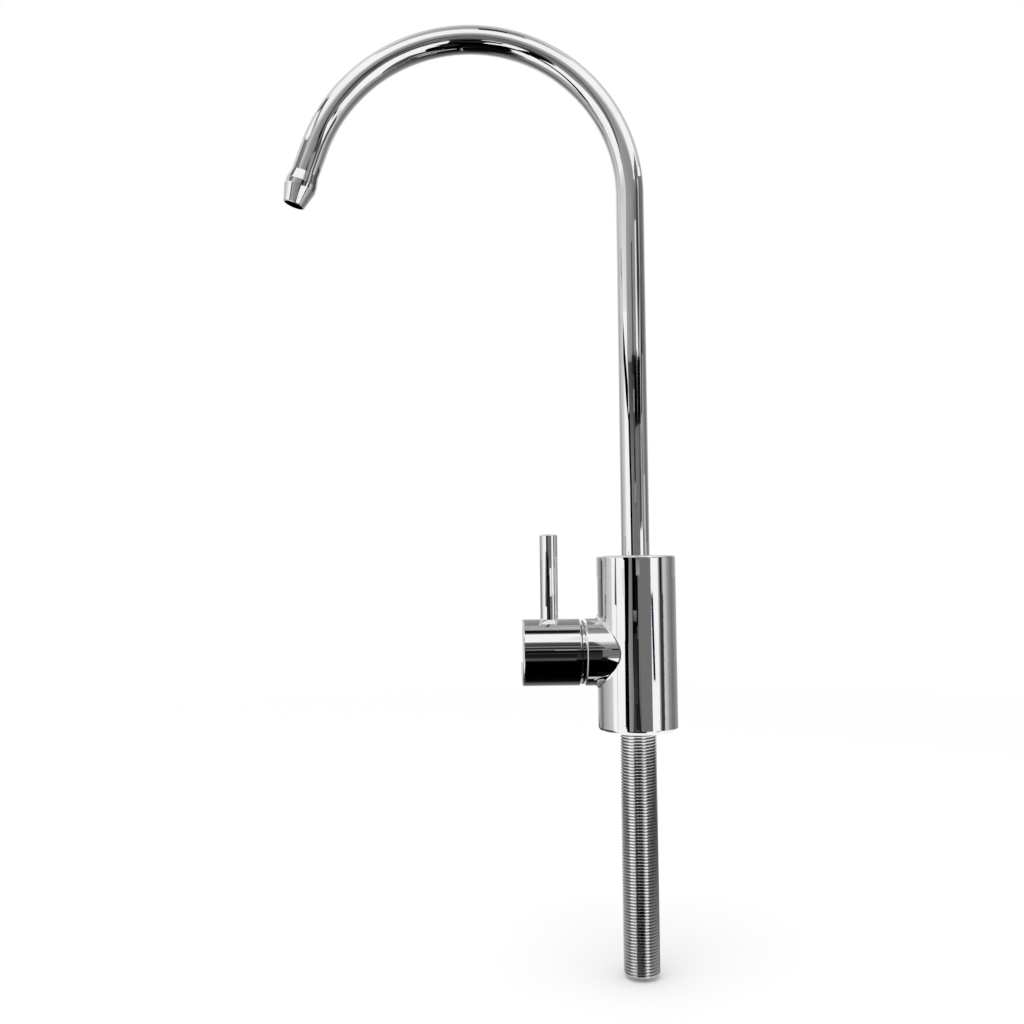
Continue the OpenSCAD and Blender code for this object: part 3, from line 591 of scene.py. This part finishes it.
def chrome():
    """Bright chrome plate over polished brass: a mirror, a little wavy, with faint wiped patches. Where a
    piece has the attribute that marks painted shade, its colour is painted near black, as shade deep in a
    bore."""
    material, tree, shader = shader_of("chrome")
    shader.inputs["Metallic"].default_value = 1
    cloud = spread(tree, grain(tree, 90), 0, 1)
    plate = tinted(tree, cloud, (0.86, 0.865, 0.87), (0.91, 0.91, 0.915))
    # Painted shade: faces with the marking attribute get a near-black colour in place of the plate
    painted_shade = tree.nodes.new("ShaderNodeAttribute")
    painted_shade.attribute_name = "painted_shade"
    plate_or_shade = tree.nodes.new("ShaderNodeMix")
    plate_or_shade.data_type = "RGBA"
    plate_or_shade.inputs["B"].default_value = (0.012, 0.011, 0.01, 1)
    tree.links.new(painted_shade.outputs["Fac"], plate_or_shade.inputs["Factor"])
    tree.links.new(plate, plate_or_shade.inputs["A"])
    tree.links.new(plate_or_shade.outputs["Result"], shader.inputs["Base Color"])
    wiped = grain(tree, 700, 4, (1, 1, 0.25))
    tree.links.new(spread(tree, wiped, 0.02, 0.06, 0.45, 0.8), shader.inputs["Roughness"])
    waves = relief(tree, grain(tree, 45, 1), 20 * MICRON)
    tree.links.new(relief(tree, grain(tree, 3000, 2), 0.4 * MICRON, waves), shader.inputs["Normal"])
    return material


def thread_chrome():
    """Thin chrome plate on a cut thread: less even, and darkened towards the roots by painted shade."""
    material, tree, shader = shader_of("thread_chrome")
    shader.inputs["Metallic"].default_value = 1
    cloud = spread(tree, grain(tree, 400, 5), 0, 1)
    plate = tinted(tree, cloud, (0.84, 0.845, 0.85), (0.93, 0.93, 0.935))
    # Painted shade: the colour darkens from a little under the crests down to the roots of the thread
    place = tree.nodes.new("ShaderNodeTexCoord")
    level = tree.nodes.new("ShaderNodeMapping")
    level.inputs["Scale"].default_value = (1, 1, 0)
    distance = tree.nodes.new("ShaderNodeVectorMath")
    distance.operation = "LENGTH"
    tree.links.new(place.outputs["Object"], level.inputs["Vector"])
    tree.links.new(level.outputs["Vector"], distance.inputs[0])
    root_r, unshaded_r = SHANK_R - THREAD_DEPTH, SHANK_R - ROOT_SHADE_START
    height = spread(tree, distance.outputs["Value"], 0, 1, root_r * MM, unshaded_r * MM)
    root_shade = tree.nodes.new("ShaderNodeMix")
    root_shade.data_type = "RGBA"
    root_shade.inputs["A"].default_value = (0.36, 0.36, 0.365, 1)
    tree.links.new(height, root_shade.inputs["Factor"])
    tree.links.new(plate, root_shade.inputs["B"])
    tree.links.new(root_shade.outputs["Result"], shader.inputs["Base Color"])
    tree.links.new(spread(tree, grain(tree, 1500, 4), 0.04, 0.12), shader.inputs["Roughness"])
    tree.links.new(relief(tree, grain(tree, 2500, 3), 3 * MICRON), shader.inputs["Normal"])
    return material


def brass():
    """Bare turned brass, with fine tool marks and a light tarnish."""
    return finish("brass", tint=((0.83, 0.64, 0.33), (0.66, 0.48, 0.24)), tint_grain=(250, 5),
                  roughness=(0.18, 0.38), rough_grain=(900, 4), pits=4 * MICRON, pit_grain=(2600, 2),
                  metallic=1)


def rubber():
    """Black moulded rubber with a trace of grease."""
    return finish("rubber", tint=((0.012, 0.012, 0.013), (0.03, 0.03, 0.031)), tint_grain=(600, 5),
                  roughness=(0.35, 0.65), rough_grain=(300, 3), pits=6 * MICRON, pit_grain=(5000, 3))


def fibre():
    """Red-brown pressed fibre, mottled and matt."""
    return finish("fibre", tint=((0.36, 0.10, 0.05), (0.20, 0.05, 0.03)), tint_grain=(1200, 6),
                  roughness=(0.7, 0.95), rough_grain=(2000, 4), pits=20 * MICRON, pit_grain=(4000, 6))


def ceramic():
    """Lapped ceramic, ivory and very smooth."""
    return finish("ceramic", tint=((0.86, 0.83, 0.75), (0.80, 0.77, 0.69)), tint_grain=(500, 4),
                  roughness=(0.12, 0.25), rough_grain=(1500, 3), pits=1 * MICRON, pit_grain=(6000, 2))


def white_plastic():
    """Natural white acetal with a waxy sheen."""
    return finish("white_plastic", tint=((0.82, 0.82, 0.79), (0.76, 0.76, 0.73)), tint_grain=(400, 4),
                  roughness=(0.35, 0.5), rough_grain=(1200, 4), pits=5 * MICRON, pit_grain=(3500, 4))


def black_plastic():
    """Black moulded plastic, finely pitted."""
    return finish("black_plastic", tint=((0.003, 0.003, 0.003), (0.009, 0.009, 0.01)), tint_grain=(800, 4),
                  roughness=(0.4, 0.6), rough_grain=(1500, 4), pits=8 * MICRON, pit_grain=(6000, 3),
                  specular=0.15)


def steel():
    """Plain stainless steel with a drawn, slightly brushed surface."""
    drawn = (1, 1, 0.2)
    return finish("steel", tint=((0.56, 0.565, 0.575), (0.66, 0.665, 0.675)), tint_grain=(500, 4),
                  roughness=(0.2, 0.4), rough_grain=(2500, 4, drawn), pits=3 * MICRON,
                  pit_grain=(5000, 3, drawn), metallic=1)


def dress_tap():
    """Puts the polished pieces in the place of their CAD nodes, and gives every other node its finish."""
    bright, threaded = chrome(), thread_chrome()
    fit_piece("polished_body", body_patches(), bright, "tap", "tap_body")
    fit_piece("threaded_shank", shank_patches(), threaded, "tap", "shank")
    fit_piece("top_bush", bush_patches(), bright, "tap", "spout_retaining_bush")
    fit_piece("fine_ring", ring_patches(), bright, "tap", "bonnet_ring")
    fit_piece("gooseneck", gooseneck_patches(), bright, "spout", "spout_tube")
    fit_piece("double_cone_tip", tip_patches(), bright, "spout", "spout_tip", TIP_BORE_PATCHES)
    fit_piece("hub", hub_patches(), bright, "handle", "handle_hub")
    fit_piece("lever", lever_patches(), bright, "handle", "lever_rod")
    finishes = [(rubber(), ["base_seal", "spout_o_ring_lower", "spout_o_ring_upper", "cartridge_o_ring",
                            "seat_seal", "spindle_o_ring_inner", "spindle_o_ring_outer"]),
                (fibre(), ["shank_seal"]),
                (brass(), ["spout_ferrule", "cartridge_housing", "spindle"]),
                (white_plastic(), ["spout_thrust_washer", "spindle_slip_washer"]),
                (black_plastic(), ["outlet_straightener"]),
                (ceramic(), ["fixed_disc", "moving_disc"]),
                (steel(), ["stop_washer", "spindle_clip", "grub_screw"])]
    for material, nodes in finishes:
        for node in nodes:
            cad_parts[node].data.materials.clear()
            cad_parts[node].data.materials.append(material)


# Studio

CAMERA_AT = (-48.3, -352.6, 55.6)
CAMERA_TURN = -1.136          # degrees to the side, up, and round the line of sight
CAMERA_TILT = 2.831
CAMERA_ROLL = 0.589
FOCAL_PIXELS = 1051.6         # focal length in pixels of a picture this wide
PICTURE_PIXELS = 1024
SENSOR = 36.0
CARD_DISTANCE = 4000.0
CARD_LAYER = 40.0
CARD_STEPS = 24
CHROME_MIRRORS = 0.88         # share of the light that the chrome gives back
SCREEN_GAMMA = 2.2
FLOOR_Z = -80.5
FLOOR_HALF = 9.0              # floor, room and lamp are in metres
FLOOR_LIT = 0.25              # distance up to which the floor is lit only
FLOOR_WHITE = 0.9             # distance from which it is white by itself
ROOM_LIGHT = 0.9
LAMP_SIZE = 1.0
LAMP_WATTS = 5
LAMP_AT = (-0.3, -0.4, 1.4)
LAMP_TILT = 15


def set_camera():
    """Camera at the photograph's place, looking along +Y but for a small turn, tilt and roll."""
    data = bpy.data.cameras.new("camera")
    data.sensor_width = SENSOR
    data.lens = SENSOR * FOCAL_PIXELS / PICTURE_PIXELS
    data.clip_start = 0.01
    data.clip_end = 20
    camera = bpy.data.objects.new("camera", data)
    turn = (Matrix.Rotation(math.radians(CAMERA_TURN), 3, "Z")
            @ Matrix.Rotation(math.radians(CAMERA_TILT), 3, "X")
            @ Matrix.Rotation(math.radians(CAMERA_ROLL), 3, "Y"))
    look = turn @ Matrix.Rotation(QUARTER, 3, "X")
    camera.matrix_world = Matrix.Translation([c * MM for c in CAMERA_AT]) @ look.to_4x4()
    bpy.context.scene.collection.objects.link(camera)
    bpy.context.scene.camera = camera


def card_light(name, colour):
    """Even glow of a reflector card, as bright as the card's own value at each point."""
    material = bpy.data.materials.new(name)
    material.use_nodes = True
    tree = material.node_tree
    tree.nodes.remove(tree.nodes["Principled BSDF"])
    glow = tree.nodes.new("ShaderNodeAttribute")
    glow.attribute_name = "glow"
    light = tree.nodes.new("ShaderNodeEmission")
    light.inputs["Color"].default_value = (*colour, 1)
    tree.links.new(glow.outputs["Fac"], light.inputs["Strength"])
    tree.links.new(light.outputs["Emission"], tree.nodes["Material Output"].inputs["Surface"])
    material.cycles.emission_sampling = "NONE"
    return material


def between(corners, u, v):
    """Evenly between four corners: low start, low end, high start, high end."""
    low_start, low_end, high_start, high_end = [np.array(corner, float) for corner in corners]
    u, v = u[..., None], v[..., None]
    return (1 - v) * ((1 - u) * low_start + u * low_end) + v * ((1 - u) * high_start + u * high_end)


def hang_card(name, light, shape, greys):
    """Card whose points shape(u, v) gives for u and v from 0 to 1, with greys evenly between those at its
    four corners, as a screen shows them. It is seen in mirrors only."""
    u, v = np.meshgrid(np.linspace(0, 1, CARD_STEPS + 1), np.linspace(0, 1, CARD_STEPS + 1))
    grey = between([(grey,) for grey in greys], u, v)
    index = np.arange((CARD_STEPS + 1) ** 2).reshape(CARD_STEPS + 1, CARD_STEPS + 1)
    faces = np.stack([index[:-1, :-1], index[1:, :-1], index[1:, 1:], index[:-1, 1:]], -1).reshape(-1, 4)
    mesh = bpy.data.meshes.new(name)
    mesh.from_pydata((MM * shape(u, v)).reshape(-1, 3).tolist(), [], faces.tolist())
    glow = mesh.attributes.new("glow", "FLOAT", "POINT")
    glow.data.foreach_set("value", (grey.ravel() ** SCREEN_GAMMA / CHROME_MIRRORS).astype(np.float32))
    mesh.materials.append(light)
    card = bpy.data.objects.new(name, mesh)
    bpy.context.scene.collection.objects.link(card)
    card.visible_camera = False
    card.visible_diffuse = False
    card.visible_shadow = False


def far_shape(corners, layer):
    """Part of a wide sphere round the tap, nearer by one step for each layer. Side a and height e, in
    degrees, go evenly between the corners, and the point is distance (- cos e sin a, - cos e cos a, sin e),
    so that side 0 is the front and side 90 is the handle's side."""
    def shape(u, v):
        a, e = np.moveaxis(np.radians(between(corners, u, v)), -1, 0)
        point = np.stack([-np.cos(e) * np.sin(a), -np.cos(e) * np.cos(a), np.sin(e)], -1)
        return (CARD_DISTANCE - CARD_LAYER * layer) * point
    return shape


def upright(start, end, low, high):
    """Corners of a far card with upright sides."""
    return (start, low), (end, low), (start, high), (end, high)


def standing(y, low_start, low_end, low, high_start, high_end, high):
    """Corners of a near card in a plane across the front."""
    return (low_start, y, low), (low_end, y, low), (high_start, y, high), (high_end, y, high)


def facing(y, start, end, low, high):
    """Corners of a near card across the front, with upright sides."""
    return standing(y, start, end, low, start, end, high)


def flanking(x, near, far, low, high):
    """Corners of a near upright card along one side."""
    return (x, near, low), (x, far, low), (x, near, high), (x, far, high)


def lying(z, near_start, near_end, near, far_start, far_end, far):
    """Corners of a near level card, above or below the tap."""
    return (near_start, near, z), (near_end, near, z), (far_start, far, z), (far_end, far, z)


def even(grey):
    """Greys of a card that is the same all over."""
    return grey, grey, grey, grey


def rising(low, high):
    """Greys of a card that changes from its low side to its high side."""
    return low, low, high, high


def crossing(start, end):
    """Greys of a card that changes from its start to its end."""
    return start, end, start, end


# Cards far away: name, layer, corners and greys, each from low start, low end, high start to high end
FAR_CARDS = [
    ("rear_ground", 0, upright(212, 148, -62, -5), rising(0.14, 0.78)),
    ("rear_left", 1, upright(160, 125, -60, 0), (0.4, 0.25, 0.75, 0.4)),
    ("rear_left_high", 0, upright(180, 125, 0, 25), (0.9, 0.45, 1.0, 0.72)),
    ("rear_right", 1, upright(-112, -160, -60, 0), (0.38, 0.35, 0.42, 0.7)),
    ("rear_right_high", 0, upright(-112, -175, 0, 30), (0.42, 0.9, 0.5, 1.0)),
    ("roof", 0, upright(180, -180, 66, 90), rising(0.68, 0.6)),
    ("rear_roof_left", 1, upright(160, 95, 30, 72), (0.85, 0.75, 0.83, 0.8)),
    ("rear_roof_right", 1, upright(-95, -160, 30, 72), (0.7, 0.75, 0.83, 0.83)),
    ("rear_roof", 1, upright(200, 160, 30, 72), rising(0.5, 0.9)),
    ("ground", 0, upright(180, -180, -90, -60), rising(0.05, 0.1)),
    ("ground_left", 1, upright(130, 30, -66, -57), (0.12, 0.12, 0.4, 0.85)),
    ("ground_right", 1, upright(-36, -180, -66, -44), (0.16, 0.16, 0.45, 0.4)),
    ("ground_front", 3, ((62, -67), (-48, -67), (22, -43), (-20, -42)), even(0.03)),
    ("left_wall", 1, upright(126, 82, -57, 25), (0.38, 0.65, 0.72, 0.88)),
    ("right_wall", 1, ((-70, -60), (-114, -60), (-72, 2), (-114, 2)), (0.6, 0.38, 0.75, 0.42)),
    ("right_wall_high", 1, upright(-62, -114, 2, 27), (0.62, 0.36, 0.6, 0.38)),
    ("right_corner", 2, upright(-44, -72, -56, -42), (0.2, 0.2, 0.5, 0.3)),
    ("front_wall", 1, upright(14, -35, -9, 13), (0.42, 0.42, 0.42, 0.44)),
    ("front_wall_low", 1, ((26, -19), (-9, -19), (14, -9), (-35, -9)), (0.55, 0.5, 0.42, 0.42)),
    ("front_left", 1, ((34, -12), (14, -14), (35, 9.5), (14, 9.5)), (0.62, 0.42, 0.5, 0.44)),
    ("front_left_high", 1, ((35, 9.5), (14, 9.5), (50, 12.8), (14, 14.5)), (0.55, 0.44, 0.62, 0.46)),
    ("front_shade", 2, ((35, 6.5), (-8, 6.5), (44, 12.6), (-8, 12.6)), (0.46, 0.44, 0.3, 0.16)),
    ("haze_low", 1, ((49, 12.8), (-27, 12.8), (40, 24), (-27, 24)), (0.6, 0.48, 0.6, 0.52)),
    ("haze_high", 1, upright(46, -30, 24, 40), (0.55, 0.52, 1.0, 0.97)),
    ("haze_left", 1, upright(82, 44, 15.5, 23), (0.93, 0.85, 0.72, 0.8)),
    ("tongue", 2, ((10, -46), (-10, -46), (5, -22), (-4, -22)), rising(0.04, 0.1)),
    ("tongue_top", 2, ((5, -22), (-4, -22), (6, -10), (-2, -4)), (0.1, 0.1, 0.38, 0.4)),
    ("slant_low", 3, ((38, -42), (27, -42), (32, -19), (20, -19)), even(0.03)),
    ("slant_high", 3, ((32, -19), (20, -19), (15, -4), (4, -4)), (0.03, 0.03, 0.3, 0.36)),
    ("arch_patch", 3, ((-8, 8.7), (-30, 8.9), (11, 13), (-22, 13)), (0.05, 0.04, 0.05, 0.05)),
    ("arch_streak", 4, ((-26, 10.5), (-30, 10.5), (-22, 13.2), (-33, 13.2)), rising(0.2, 0.35)),
    ("arch_right", 3, ((-30, 8.9), (-56, 9), (-34, 12.9), (-60, 12.9)), (0.04, 0.08, 0.02, 0.1)),
    ("right_wall_near", 2, ((-35, 2.8), (-47, 2.8), (-35, 9.5), (-52, 9.5)), (0.36, 0.2, 0.36, 0.36)),
    ("right_line_low", 2, ((-62, 2.8), (-70, 2.8), (-61, 8.5), (-68, 8.5)), (0.5, 0.55, 0.38, 0.4)),
    ("right_haze", 1, upright(-50, -64, 2.8, 9.5), rising(0.62, 0.6)),
    ("right_edge", 2, upright(-58, -64, -14, 3), crossing(0.75, 0.45)),
    ("right_dark", 2, upright(-64, -78, -12, -1), crossing(0.2, 0.28)),
    ("right_dark_high", 2, upright(-64, -71, -1, 2.8), crossing(0.05, 0.15)),
    ("right_grey_high", 2, upright(-71, -78, -1, 2.8), crossing(0.48, 0.6)),
    ("right_pale", 2, upright(-76, -91, -14, 6), (0.78, 0.7, 0.78, 0.65)),
    ("right_streak_white", 2, ((-28, 12.7), (-38, 12.7), (-26, 22), (-34, 22)), rising(0.95, 0.7)),
    ("right_streak_dark", 2, ((-42, 12.7), (-54, 12.7), (-40, 17), (-64, 17)), (0.5, 0.4, 0.24, 0.22)),
    ("right_streak_black", 2, ((-40, 17), (-64, 17), (-41, 27), (-60, 27)), (0.22, 0.22, 0.3, 0.32)),
    ("right_streak_pale", 2, ((-54, 12.7), (-63, 12.7), (-65, 17), (-73, 17)), rising(0.86, 0.66)),
    ("right_streak_pale_high", 2, ((-64, 17), (-73, 17), (-61, 27), (-71, 27)), rising(0.6, 0.8)),
    ("right_streak_last", 2, ((-58, 9.5), (-67, 9.5), (-64, 13), (-76, 13)), (0.08, 0.15, 0.1, 0.25)),
    ("right_streak_end", 2, ((-64, 13), (-92, 13), (-74, 18), (-98, 18)), (0.12, 0.36, 0.34, 0.42)),
    ("right_streak_end_high", 2, ((-74, 18), (-98, 18), (-72, 27), (-94, 27)), (0.3, 0.4, 0.38, 0.5)),
    ("right_bough_low", 3, ((-20, 20.5), (-44, 20.5), (-22, 24), (-44, 24.5)), (0.45, 0.4, 0.55, 0.5)),
    ("right_bough_high", 3, ((-44, 22), (-78, 28), (-46, 28), (-78, 35)), (0.35, 0.45, 0.4, 0.5)),
    ("left_bough_low", 3, ((94, 36.5), (46, 32), (94, 39.5), (46, 36)), (0.4, 0.5, 0.35, 0.6)),
    ("left_bough_high", 3, ((108, 46), (78, 47.5), (108, 50), (78, 52)), crossing(0.4, 0.32)),
    ("left_bough_end", 3, ((78, 47.5), (36, 31), (78, 52), (36, 35)), (0.32, 0.7, 0.32, 0.75)),
    ("left_line", 3, upright(112, 108, -4, 1), rising(0.4, 0.25)),
    ("left_edge", 3, upright(129, 121, -4, 1), (0.35, 0.35, 0.2, 0.3)),
    ("left_line_pale", 3, ((68, -14), (66, -14), (68, 3), (66, 3)), even(0.75)),
]
FAR_BLUE_CARDS = [
    ("blue_line", 3, ((-39.5, -6), (-45.5, -6), (-35, -1), (-41.5, -1)), rising(0.2, 0.25)),
    ("blue_line_high", 3, ((-44, 3.2), (-50, 3.2), (-45, 6.4), (-51, 6.4)), (0.2, 0.25, 0.25, 0.3)),
]

# Cards near the tap: name, corners and greys
NEAR_CARDS = [
    ("stand_low", standing(-165, -75, 26, -150, -60, 6, -26), rising(0.04, 0.05)),
    ("stand", facing(-165, -36, -8, -26, 50), rising(0.15, 0.06)),
    ("stand_line_a", facing(-164, -36, -8, 20, 26), even(0.25)),
    ("stand_line_b", facing(-164, -36, -8, -50, -22), rising(0.28, 0.3)),
    ("stand_line_c", facing(-164, -19, 8, 50, 57), rising(0.6, 0.5)),
    ("column_low", standing(-372, -105, 30, -130, -105, 8, -60), (0.04, 0.04, 0.2, 0.06)),
    ("column", standing(-372, -105, 8, -60, -130, -35, -12), (0.3, 0.06, 0.15, 0.2)),
    ("column_high", standing(-372, -130, -35, -12, -121, -50, 61), (0.03, 0.1, 0.01, 0.01)),
    ("screen", facing(-372, -30, 28, 94, 282), rising(0.25, 0.3)),
    ("screen_line_a", facing(-371, -30, 28, 158, 174), even(0.55)),
    ("screen_line_low", facing(-371, -30, 28, 96, 110), even(0.55)),
    ("screen_line_dark", facing(-371, -30, 28, 112, 134), even(0.06)),
    ("screen_line_b", facing(-371, -30, 28, 184, 200), even(0.16)),
    ("screen_line_c", facing(-371, -30, 28, 276, 306), rising(0.5, 0.6)),
    ("roof_slot", lying(1000, -36, 64, -350, -36, 64, -130), rising(0.12, 0.1)),
    ("roof_slot_edge", lying(1000, -36, 64, -430, -36, 64, -350), rising(0.6, 0.35)),
    ("branch_roof", lying(1000, 64, 130, -440, 64, 130, 0), rising(0.6, 0.45)),
    ("rear_shade", lying(300, -45, 14, 70, -45, 14, 430), rising(0.48, 0.66)),
    ("post_low", standing(-120, -108, -71, -20, -104, -71, 20), even(0.02)),
    ("post", standing(-120, -101, -69, 20, -98, -59, 57), even(0.02)),
    ("post_high", standing(-120, -108, -60, 57, -110, -62, 92), even(0.02)),
    ("post_top", standing(-120, -110, -62, 92, -136, -84, 128), (0.02, 0.02, 0.02, 0.03)),
    ("rail", ((-145, -14, 152), (-132, -64, 132), (-145, -14, 173), (-132, -64, 153)), crossing(0.05, 0.03)),
    ("rail_low", ((-132, -64, 132), (-103, -104, 119), (-132, -64, 153), (-103, -104, 138)),
     crossing(0.03, 0.02)),
    ("black_floor", lying(-100, -30, 12, -330, -46, -4, 0), even(0.02)),
    ("black_floor_rear", lying(-100, -46, -4, 0, -44, 0, 60), rising(0.02, 0.12)),
    ("worktop", ((-7, -14.2, -0.6), (16, -15, -0.6), (-13.6, -2, -0.6), (16, 16, -0.6)), even(0.95)),
    ("branch_stand", facing(-60, -17, -7.5, 4, 29.5), rising(0.22, 0.15)),
    ("branch_line", facing(-60, -17, -7.5, 29.5, 34), even(0.05)),
    ("branch_line_pale", facing(-60, -17, -7.5, 34, 38), rising(0.3, 0.45)),
    ("branch_shade", facing(-372, 6, 30, -175, -60), rising(0.15, 0.22)),
    ("tip_shade_edge", facing(-20, -136, -129.5, 170, 188), (0.36, 0.4, 0.34, 0.4)),
    ("tip_shade", facing(-20, -129.5, -110.5, 168, 188), (0.64, 0.48, 0.64, 0.44)),
    ("tip_line", facing(-12, -98, -90, 160, 176), rising(0.25, 0.3)),
    ("tip_edge", flanking(-98, -1, 8, 178, 190), crossing(0.32, 0.3)),
    ("tip_top", facing(-14, -105, -98.5, 189, 196), (0.5, 0.6, 0.48, 0.6)),
    ("lever_glow", ((-25, -27, 44), (-15.5, -24, 44), (-25, -27, 54), (-15.5, -24, 54)),
     crossing(0.93, 0.85)),
    ("lever_shade", standing(-27, -62, -45, 40, -52, -45, 60), (0.33, 0.3, 0.38, 0.38)),
    ("shank_left", flanking(-40, -10, 110, -110, -8), (0.85, 0.85, 0.18, 0.2)),
    ("shank_front", facing(-60, -45, 16, -110, -8), even(0.02)),
    ("shank_glow", facing(-60, 25, 64, -110, -8), even(0.95)),
    ("shank_right", flanking(30, -36, 60, -110, -5), (0.65, 0.65, 0.15, 0.18)),
    ("shank_end", lying(-84, -8, 8, -8, -8, 8, 10), crossing(0.75, 0.8)),
]


def hang_cards():
    """Cards that the chrome mirrors, as the walls, lamps and dark things of a studio. Between them it mirrors
    the white room."""
    grey = card_light("card_light", (1, 1, 1))
    blue = card_light("blue_card_light", (0.12, 0.16, 1))
    for cards, light in ((FAR_CARDS, grey), (FAR_BLUE_CARDS, blue)):
        for name, layer, corners, greys in cards:
            hang_card(name, light, far_shape(corners, layer), greys)
    for name, corners, greys in NEAR_CARDS:
        hang_card(name, grey, lambda u, v: between(corners, u, v), greys)


def lay_floor():
    """Plain white floor just under the shank. It is lit near the tap, so that it keeps the tap's soft shadow,
    and far away it is as white as the room by itself, so that no horizon shows."""
    material = bpy.data.materials.new("floor")
    material.use_nodes = True
    tree = material.node_tree
    shader = tree.nodes["Principled BSDF"]
    shader.inputs["Base Color"].default_value = (0.98, 0.98, 0.98, 1)
    shader.inputs["Roughness"].default_value = 1
    shader.inputs["Specular IOR Level"].default_value = 0
    place = tree.nodes.new("ShaderNodeTexCoord")
    length = tree.nodes.new("ShaderNodeVectorMath")
    length.operation = "LENGTH"
    tree.links.new(place.outputs["Object"], length.inputs[0])
    far = spread(tree, length.outputs["Value"], 0, 1, FLOOR_LIT, FLOOR_WHITE)
    white = tree.nodes.new("ShaderNodeEmission")
    both = tree.nodes.new("ShaderNodeMixShader")
    tree.links.new(far, both.inputs["Fac"])
    tree.links.new(shader.outputs["BSDF"], both.inputs[1])
    tree.links.new(white.outputs["Emission"], both.inputs[2])
    tree.links.new(both.outputs["Shader"], tree.nodes["Material Output"].inputs["Surface"])
    mesh = bpy.data.meshes.new("floor")
    corners = [(-1, -1), (1, -1), (1, 1), (-1, 1)]
    mesh.from_pydata([(x * FLOOR_HALF, y * FLOOR_HALF, FLOOR_Z * MM) for x, y in corners], [], [(0, 1, 2, 3)])
    mesh.materials.append(material)
    floor = bpy.data.objects.new("floor", mesh)
    bpy.context.scene.collection.objects.link(floor)
    floor.visible_glossy = False


def light_room():
    """White room: what is seen of it, directly or in the chrome, is plain white, and it lights softly. One
    wide lamp above adds the soft shadow."""
    world = bpy.data.worlds.new("room")
    bpy.context.scene.world = world
    world.use_nodes = True
    tree = world.node_tree
    seen = tree.nodes["Background"]
    seen.inputs["Color"].default_value = (1, 1, 1, 1)
    seen.inputs["Strength"].default_value = 1
    lit = tree.nodes.new("ShaderNodeBackground")
    lit.inputs["Color"].default_value = (1, 1, 1, 1)
    lit.inputs["Strength"].default_value = ROOM_LIGHT
    path = tree.nodes.new("ShaderNodeLightPath")
    either = tree.nodes.new("ShaderNodeMath")
    either.operation = "MAXIMUM"
    tree.links.new(path.outputs["Is Camera Ray"], either.inputs[0])
    tree.links.new(path.outputs["Is Glossy Ray"], either.inputs[1])
    also = tree.nodes.new("ShaderNodeMath")
    also.operation = "MAXIMUM"
    tree.links.new(either.outputs["Value"], also.inputs[0])
    tree.links.new(path.outputs["Is Transmission Ray"], also.inputs[1])
    mix = tree.nodes.new("ShaderNodeMixShader")
    tree.links.new(also.outputs["Value"], mix.inputs["Fac"])
    tree.links.new(lit.outputs["Background"], mix.inputs[1])
    tree.links.new(seen.outputs["Background"], mix.inputs[2])
    tree.links.new(mix.outputs["Shader"], tree.nodes["World Output"].inputs["Surface"])
    lamp_data = bpy.data.lights.new("wide_lamp", "AREA")
    lamp_data.shape = "SQUARE"
    lamp_data.size = LAMP_SIZE
    lamp_data.energy = LAMP_WATTS
    lamp = bpy.data.objects.new("wide_lamp", lamp_data)
    lamp.matrix_world = Matrix.Translation(LAMP_AT) @ Matrix.Rotation(math.radians(LAMP_TILT), 4, "X")
    lamp.visible_glossy = False
    bpy.context.scene.collection.objects.link(lamp)


dress_tap()
set_camera()
hang_cards()
lay_floor()
light_room()
bpy.context.scene.view_settings.view_transform = "Standard"
